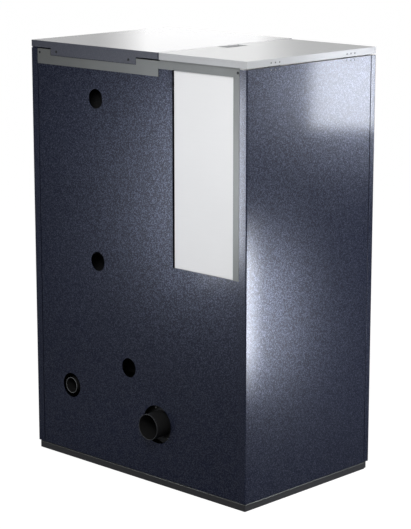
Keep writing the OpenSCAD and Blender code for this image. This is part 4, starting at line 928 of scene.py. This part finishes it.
@dataclass
class RearConnections:
    """Pipe ends, weld bead and threads at the rear of the boiler.

    Attributes:
        flue_radius: Outside radius of the flue pipe.
        intake_radius: Outside radius of the air pipe.
        wall: Wall of both pipes.
        bead: Radius of the weld bead.
        bead_seat: How far the bead stands off the pipe, as a share of its radius.
        bead_place: Distance of the bead from the flange's inner face.
        ripple: Height of the bead's ripples, as a share of its radius.
        ripples: Number of them round the pipe.
        wander: How far the bead's thickness wanders, as a share of its radius.
        wander_waves: Number of those waves round the pipe.
        wander_start: Angle at which they start, in radians.
        rolled: Radius of a rolled pipe end, as a share of the wall.
        rolled_seat: How deep its middle lies, as a share of the wall.
        rolled_reach: How far it may stand out of the pipe.
        socket_bore: Bore radius of the water sockets.
        socket_length: Length of the threaded bore.
        pitch: Pitch of the pipe thread.
        thread_radius: Radius of the thread's ridge.
        thread_turns: Number of its turns.
        thread_steps: Segments in a turn.
        thread_seat: How far the ridge's middle lies inside the bore.
        thread_start: Distance from the bore's inner end to the thread.
    """

    flue_radius: float = 0.040
    intake_radius: float = 0.025
    wall: float = 0.0015
    bead: float = 0.0016
    bead_seat: float = 0.35
    bead_place: float = 0.003
    ripple: float = 0.16
    ripples: int = 55
    wander: float = 0.06
    wander_waves: int = 9
    wander_start: float = 1.0
    rolled: float = 0.56
    rolled_seat: float = 0.45
    rolled_reach: float = 0.0002
    socket_bore: float = 0.01515
    socket_length: float = 0.020
    pitch: float = 0.002309
    thread_radius: float = 0.0008
    thread_turns: int = 7
    thread_steps: int = 40
    thread_seat: float = 0.0001
    thread_start: float = 0.002

    def weld_bead(self) -> None:
        """Model the rippled weld where the flue pipe meets its flange."""
        low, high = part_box("flue_outlet")
        centre = Vector(((low.x + high.x) / 2, low.y + self.bead_place, (low.z + high.z) / 2))
        radius = self.flue_radius + self.bead * self.bead_seat
        piece = Bench.torus(radius, self.bead, 220, 8, centre, TO_REAR)

        def rippled(point: Vector) -> Vector:
            """Swell the bead in even ripples.

            Args:
                point: A point of the bead.

            Returns:
                Its new place.
            """
            out = Vector((point.x - centre.x, 0.0, point.z - centre.z))
            angle = math.atan2(out.z, out.x)
            core = centre + out.normalized() * radius
            ripple = self.ripple * math.sin(angle * self.ripples)
            wander = self.wander * math.sin(angle * self.wander_waves + self.wander_start)
            swell = 1.0 + ripple + wander
            return core + (point - core) * swell

        Bench.reshape(piece, rippled)
        Bench.finish(piece, "flue_weld_bead", "flue_black", Body.CASING, 60)

    def rolled_end(self, node: str, radius: float, name: str, slot: str) -> None:
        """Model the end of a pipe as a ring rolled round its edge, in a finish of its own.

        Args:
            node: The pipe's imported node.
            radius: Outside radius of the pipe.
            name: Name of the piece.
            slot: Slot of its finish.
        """
        low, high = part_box(node)
        depth = high.y - self.wall * self.rolled_seat
        centre = Vector(((low.x + high.x) / 2, depth, (low.z + high.z) / 2))
        piece = Bench.torus(radius - self.wall / 2, self.wall * self.rolled, 96, 10, centre, TO_REAR)
        end = high.y + self.rolled_reach
        Bench.reshape(piece, lambda point: Vector((point.x, min(point.y, end), point.z)))
        Bench.finish(piece, name, slot, Body.CASING, 60)

    def threads(self, record: dict) -> None:
        """Model the thread in each water socket.

        Args:
            record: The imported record.
        """
        places = {mount["name"]: mount["pos_m"] for mount in record["mounts"]}
        for name in ("flow_socket", "return_socket", "drain_socket"):
            end = Vector(places[name])
            Bench.clear()
            bpy.ops.mesh.primitive_circle_add(vertices=3, radius=self.thread_radius, fill_type="NOTHING",
                                              location=(self.socket_bore - self.thread_seat, 0.0, 0.0))
            piece = bpy.context.object
            Bench.settle(piece)
            Bench.modify(piece, "SCREW", True, axis="Y", screw_offset=self.pitch,
                         iterations=self.thread_turns, steps=self.thread_steps,
                         render_steps=self.thread_steps, use_merge_vertices=False)
            Bench.tidy_normals(piece)
            foot = end - Vector((0.0, self.socket_length - self.thread_start, 0.0))
            Bench.reshape(piece, lambda point, foot=foot: point + foot)
            Bench.finish(piece, f"{name}_thread", "steel", Body.CASING, 50)

    def build(self, record: dict) -> None:
        """Model all the fine pieces at the rear.

        Args:
            record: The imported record.
        """
        self.weld_bead()
        self.rolled_end("flue_outlet", self.flue_radius, "flue_pipe_end", "frame_grey")
        self.rolled_end("air_intake_pipe", self.intake_radius, "air_pipe_end", "hinge_grey")
        self.threads(record)


@dataclass
class PlinthHighlightBead:
    """The rounded edge round the top of the plinth, in bare zinc as a painted highlight on the black plinth.

    Attributes:
        corner: Radius of its corners, in metres.
        radius: Radius of the bead, in metres.
        steps: Segments round the four corners.
    """

    corner: float = 0.003
    radius: float = 0.0013
    steps: int = 64

    def build(self) -> None:
        """Push the four quarters of a small ring out to the plinth's corners."""
        low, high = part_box("base_plinth")
        middle = (low + high) / 2
        reach = (high - low) / 2 - Vector((self.corner, self.corner, 0.0))
        piece = Bench.torus(self.corner, self.radius, self.steps, 12, Vector((0.0, 0.0, 0.0)),
                            (0.0, 0.0, math.pi / self.steps))

        def spread(point: Vector) -> Vector:
            """Move a point of the ring to its quarter's corner.

            Args:
                point: A point of the ring.

            Returns:
                Its new place.
            """
            return Vector((middle.x + point.x + math.copysign(reach.x, point.x),
                           middle.y + point.y + math.copysign(reach.y, point.y),
                           high.z - self.radius / 2 + point.z))

        Bench.reshape(piece, spread)
        # The rail's bare zinc finish paints a highlight along the plinth's rounded black edge.
        Bench.finish(piece, "plinth_highlight_bead", "bare_rail", Body.CASING, 60)


# Studio

FADE_POWER = 1.5
SENSOR_WIDTH = 36.0


@dataclass
class Softbox:
    """A rectangular lamp that points at a place.

    Attributes:
        name: Name of the lamp.
        place: Where it stands.
        aim: What it points at.
        size: Its width and height.
        power: Its power, in watts.
        fade: Share of its width and height over which its light fades out towards the edge.
        mirrored: Whether glossy surfaces show the lamp itself.
        colour: Colour of its light.
    """

    name: str
    place: Triple
    aim: Triple
    size: tuple[float, float]
    power: float
    fade: float = 0.0
    mirrored: bool = True
    colour: Colour = WHITE

    def fade_out(self, lamp: bpy.types.Light) -> None:
        """Let the lamp's light fade towards its edges.

        Args:
            lamp: The lamp's data.
        """
        lamp.use_nodes = True
        sheet = ShaderSheet(lamp.node_tree)
        place = sheet.node("ShaderNodeNewGeometry").outputs["Parametric"]
        apart = sheet.node("ShaderNodeSeparateXYZ", {0: place})
        shares = []
        for side in ("X", "Y"):
            from_middle = sheet.maths("SUBTRACT", apart.outputs[side], 0.5)
            from_edge = sheet.maths("SUBTRACT", 0.5, sheet.maths("ABSOLUTE", from_middle, 0.0))
            shares.append(sheet.spread(from_edge, 0.0, self.fade))
        soft = sheet.maths("POWER", sheet.maths("MULTIPLY", *shares), FADE_POWER)
        sheet.feed(lamp.node_tree.nodes["Emission"], {"Strength": soft})

    def build(self) -> None:
        """Add the lamp, unseen by the camera itself."""
        Bench.clear()
        bpy.ops.object.light_add(type="AREA", location=self.place)
        lamp = bpy.context.object
        lamp.name = self.name
        lamp.data.shape = "RECTANGLE"
        lamp.data.size, lamp.data.size_y = self.size
        lamp.data.energy = self.power
        lamp.data.color = self.colour
        lamp.visible_camera = False
        lamp.visible_glossy = self.mirrored
        if self.fade > 0:
            self.fade_out(lamp.data)
        turn = Vector(self.aim) - Vector(self.place)
        lamp.rotation_euler = turn.to_track_quat("-Z", "Y").to_euler()


@dataclass
class Studio:
    """Camera, floor, lamps and background.

    Attributes:
        lens: Focal length, in millimetres.
        eye: Where the camera stands.
        look: Direction that it looks in.
        fill: Brightness of the light from all round.
        gloss_fill: Brightness of the surroundings in reflections.
        floor_tone: How much of its light the floor throws back.
        floor_glow: Brightness that the camera sees the floor have by itself.
        lamps: The softboxes.
    """

    lens: float = 128.1
    eye: Triple = (-3.9884, 4.1309, 1.8921)
    look: Triple = (0.67653, -0.70442, -0.21471)
    fill: float = 0.42
    gloss_fill: float = 0.08
    floor_tone: float = 0.08
    floor_glow: float = 0.965
    lamps: list[Softbox] = field(default_factory=lambda: [
        Softbox("key_softbox", (-1.35, 1.95, 2.05), (-0.2, 0.2, 0.9), (0.8, 0.8), 31.0, mirrored=False),
        Softbox("side_fill", (-3.0, -0.3, 1.5), (-0.455, 0.0, 0.9), (1.2, 1.2), 28.0, mirrored=False),
        Softbox("boiler_side_fill", (3.0, 0.3, 1.5), (0.455, 0.0, 0.9), (1.2, 1.2), 24.0, mirrored=False),
        Softbox("front_softbox", (-0.6, -3.2, 1.7), (0.1, -0.28, 0.7), (1.4, 1.4), 34.0, 0.1),
        Softbox("side_softbox", (-1.717, -1.687, 0.99), (-0.455, -0.156, 1.24), (0.34, 0.44), 8.0, 0.12,
                colour=COOL),
        Softbox("low_strip", (-1.262, -0.54, 0.341), (-0.455, 0.309, 0.624), (0.2, 0.7), 10.5, 0.3,
                colour=COOL),
        Softbox("rear_softbox", (0.976, 1.724, 0.66), (-0.375, 0.285, 1.0), (0.27, 0.94), 11.3, 0.2,
                colour=COOL),
        Softbox("lid_reflector", (1.685, -1.752, 1.62), (-0.051, 0.03, 1.36), (0.92, 0.7), 2.2, 0.24),
        Softbox("lid_card", (2.8, -2.9, 2.1), (0.0, 0.0, 1.32), (3.4, 1.6), 13.5, 0.2),
    ])

    def camera(self) -> None:
        """Add the camera at the photograph's viewing angle."""
        Bench.clear()
        bpy.ops.object.camera_add(location=self.eye)
        camera = bpy.context.object
        camera.name = "photograph_camera"
        camera.data.lens = self.lens
        camera.data.sensor_width = SENSOR_WIDTH
        camera.rotation_euler = Vector(self.look).to_track_quat("-Z", "Y").to_euler()
        bpy.context.scene.camera = camera

    def floor(self) -> None:
        """Add the plain pale floor, which keeps the shadow of the boiler."""
        Bench.clear()
        bpy.ops.mesh.primitive_plane_add(size=60.0, location=(0.0, 0.0, 0.0))
        floor = bpy.context.object
        floor.name = "studio_floor"
        made = bpy.data.materials.new("pale_floor")
        made.use_nodes = True
        sheet = ShaderSheet(made.node_tree)
        shader = made.node_tree.nodes["Principled BSDF"]
        sheet.feed(shader, {"Base Color": (self.floor_tone,) * 3, "Roughness": 0.9,
                            "Specular IOR Level": 0.1})
        glow = sheet.node("ShaderNodeEmission",
                          {"Strength": sheet.maths("MULTIPLY", sheet.seen(), self.floor_glow)})
        both = sheet.node("ShaderNodeAddShader", {0: shader.outputs["BSDF"], 1: glow.outputs["Emission"]})
        sheet.feed(made.node_tree.nodes["Material Output"], {"Surface": both.outputs["Shader"]})
        floor.data.materials.append(made)

    def background(self) -> None:
        """Light the scene softly from all round and show white behind it."""
        world = bpy.data.worlds.new("white_studio")
        world.use_nodes = True
        bpy.context.scene.world = world
        sheet = ShaderSheet(world.node_tree)
        white = sheet.node("ShaderNodeBackground", {"Color": WHITE, "Strength": 1.0})
        glossy = sheet.node("ShaderNodeLightPath").outputs["Is Glossy Ray"]
        light = world.node_tree.nodes["Background"]
        strength = sheet.spread(glossy, 0.0, 1.0, self.fill, self.gloss_fill)
        sheet.feed(light, {"Color": WHITE, "Strength": strength})
        mixed = sheet.node("ShaderNodeMixShader", {0: sheet.seen(), 1: light.outputs["Background"],
                                                   2: white.outputs["Background"]})
        sheet.feed(world.node_tree.nodes["World Output"], {"Surface": mixed.outputs["Shader"]})

    def build(self) -> None:
        """Set up the whole studio."""
        self.camera()
        self.floor()
        self.background()
        for lamp in self.lamps:
            lamp.build()
        bpy.context.scene.view_settings.view_transform = "Standard"


def main() -> None:
    """Build the studio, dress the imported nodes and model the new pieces."""
    logging.basicConfig(level=logging.INFO, format="%(message)s")
    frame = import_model()
    Studio().build()
    for row in frame["record"]["subparts"]:
        Wardrobe.dress(frame["nodes"][row["node"]], row["material_slot"])
    InsulationJacket().build(frame["nodes"])
    Seals().build()
    RearConnections().build(frame["record"])
    PlinthHighlightBead().build()
    Bench.clear()


if __name__ == "__main__":
    main()
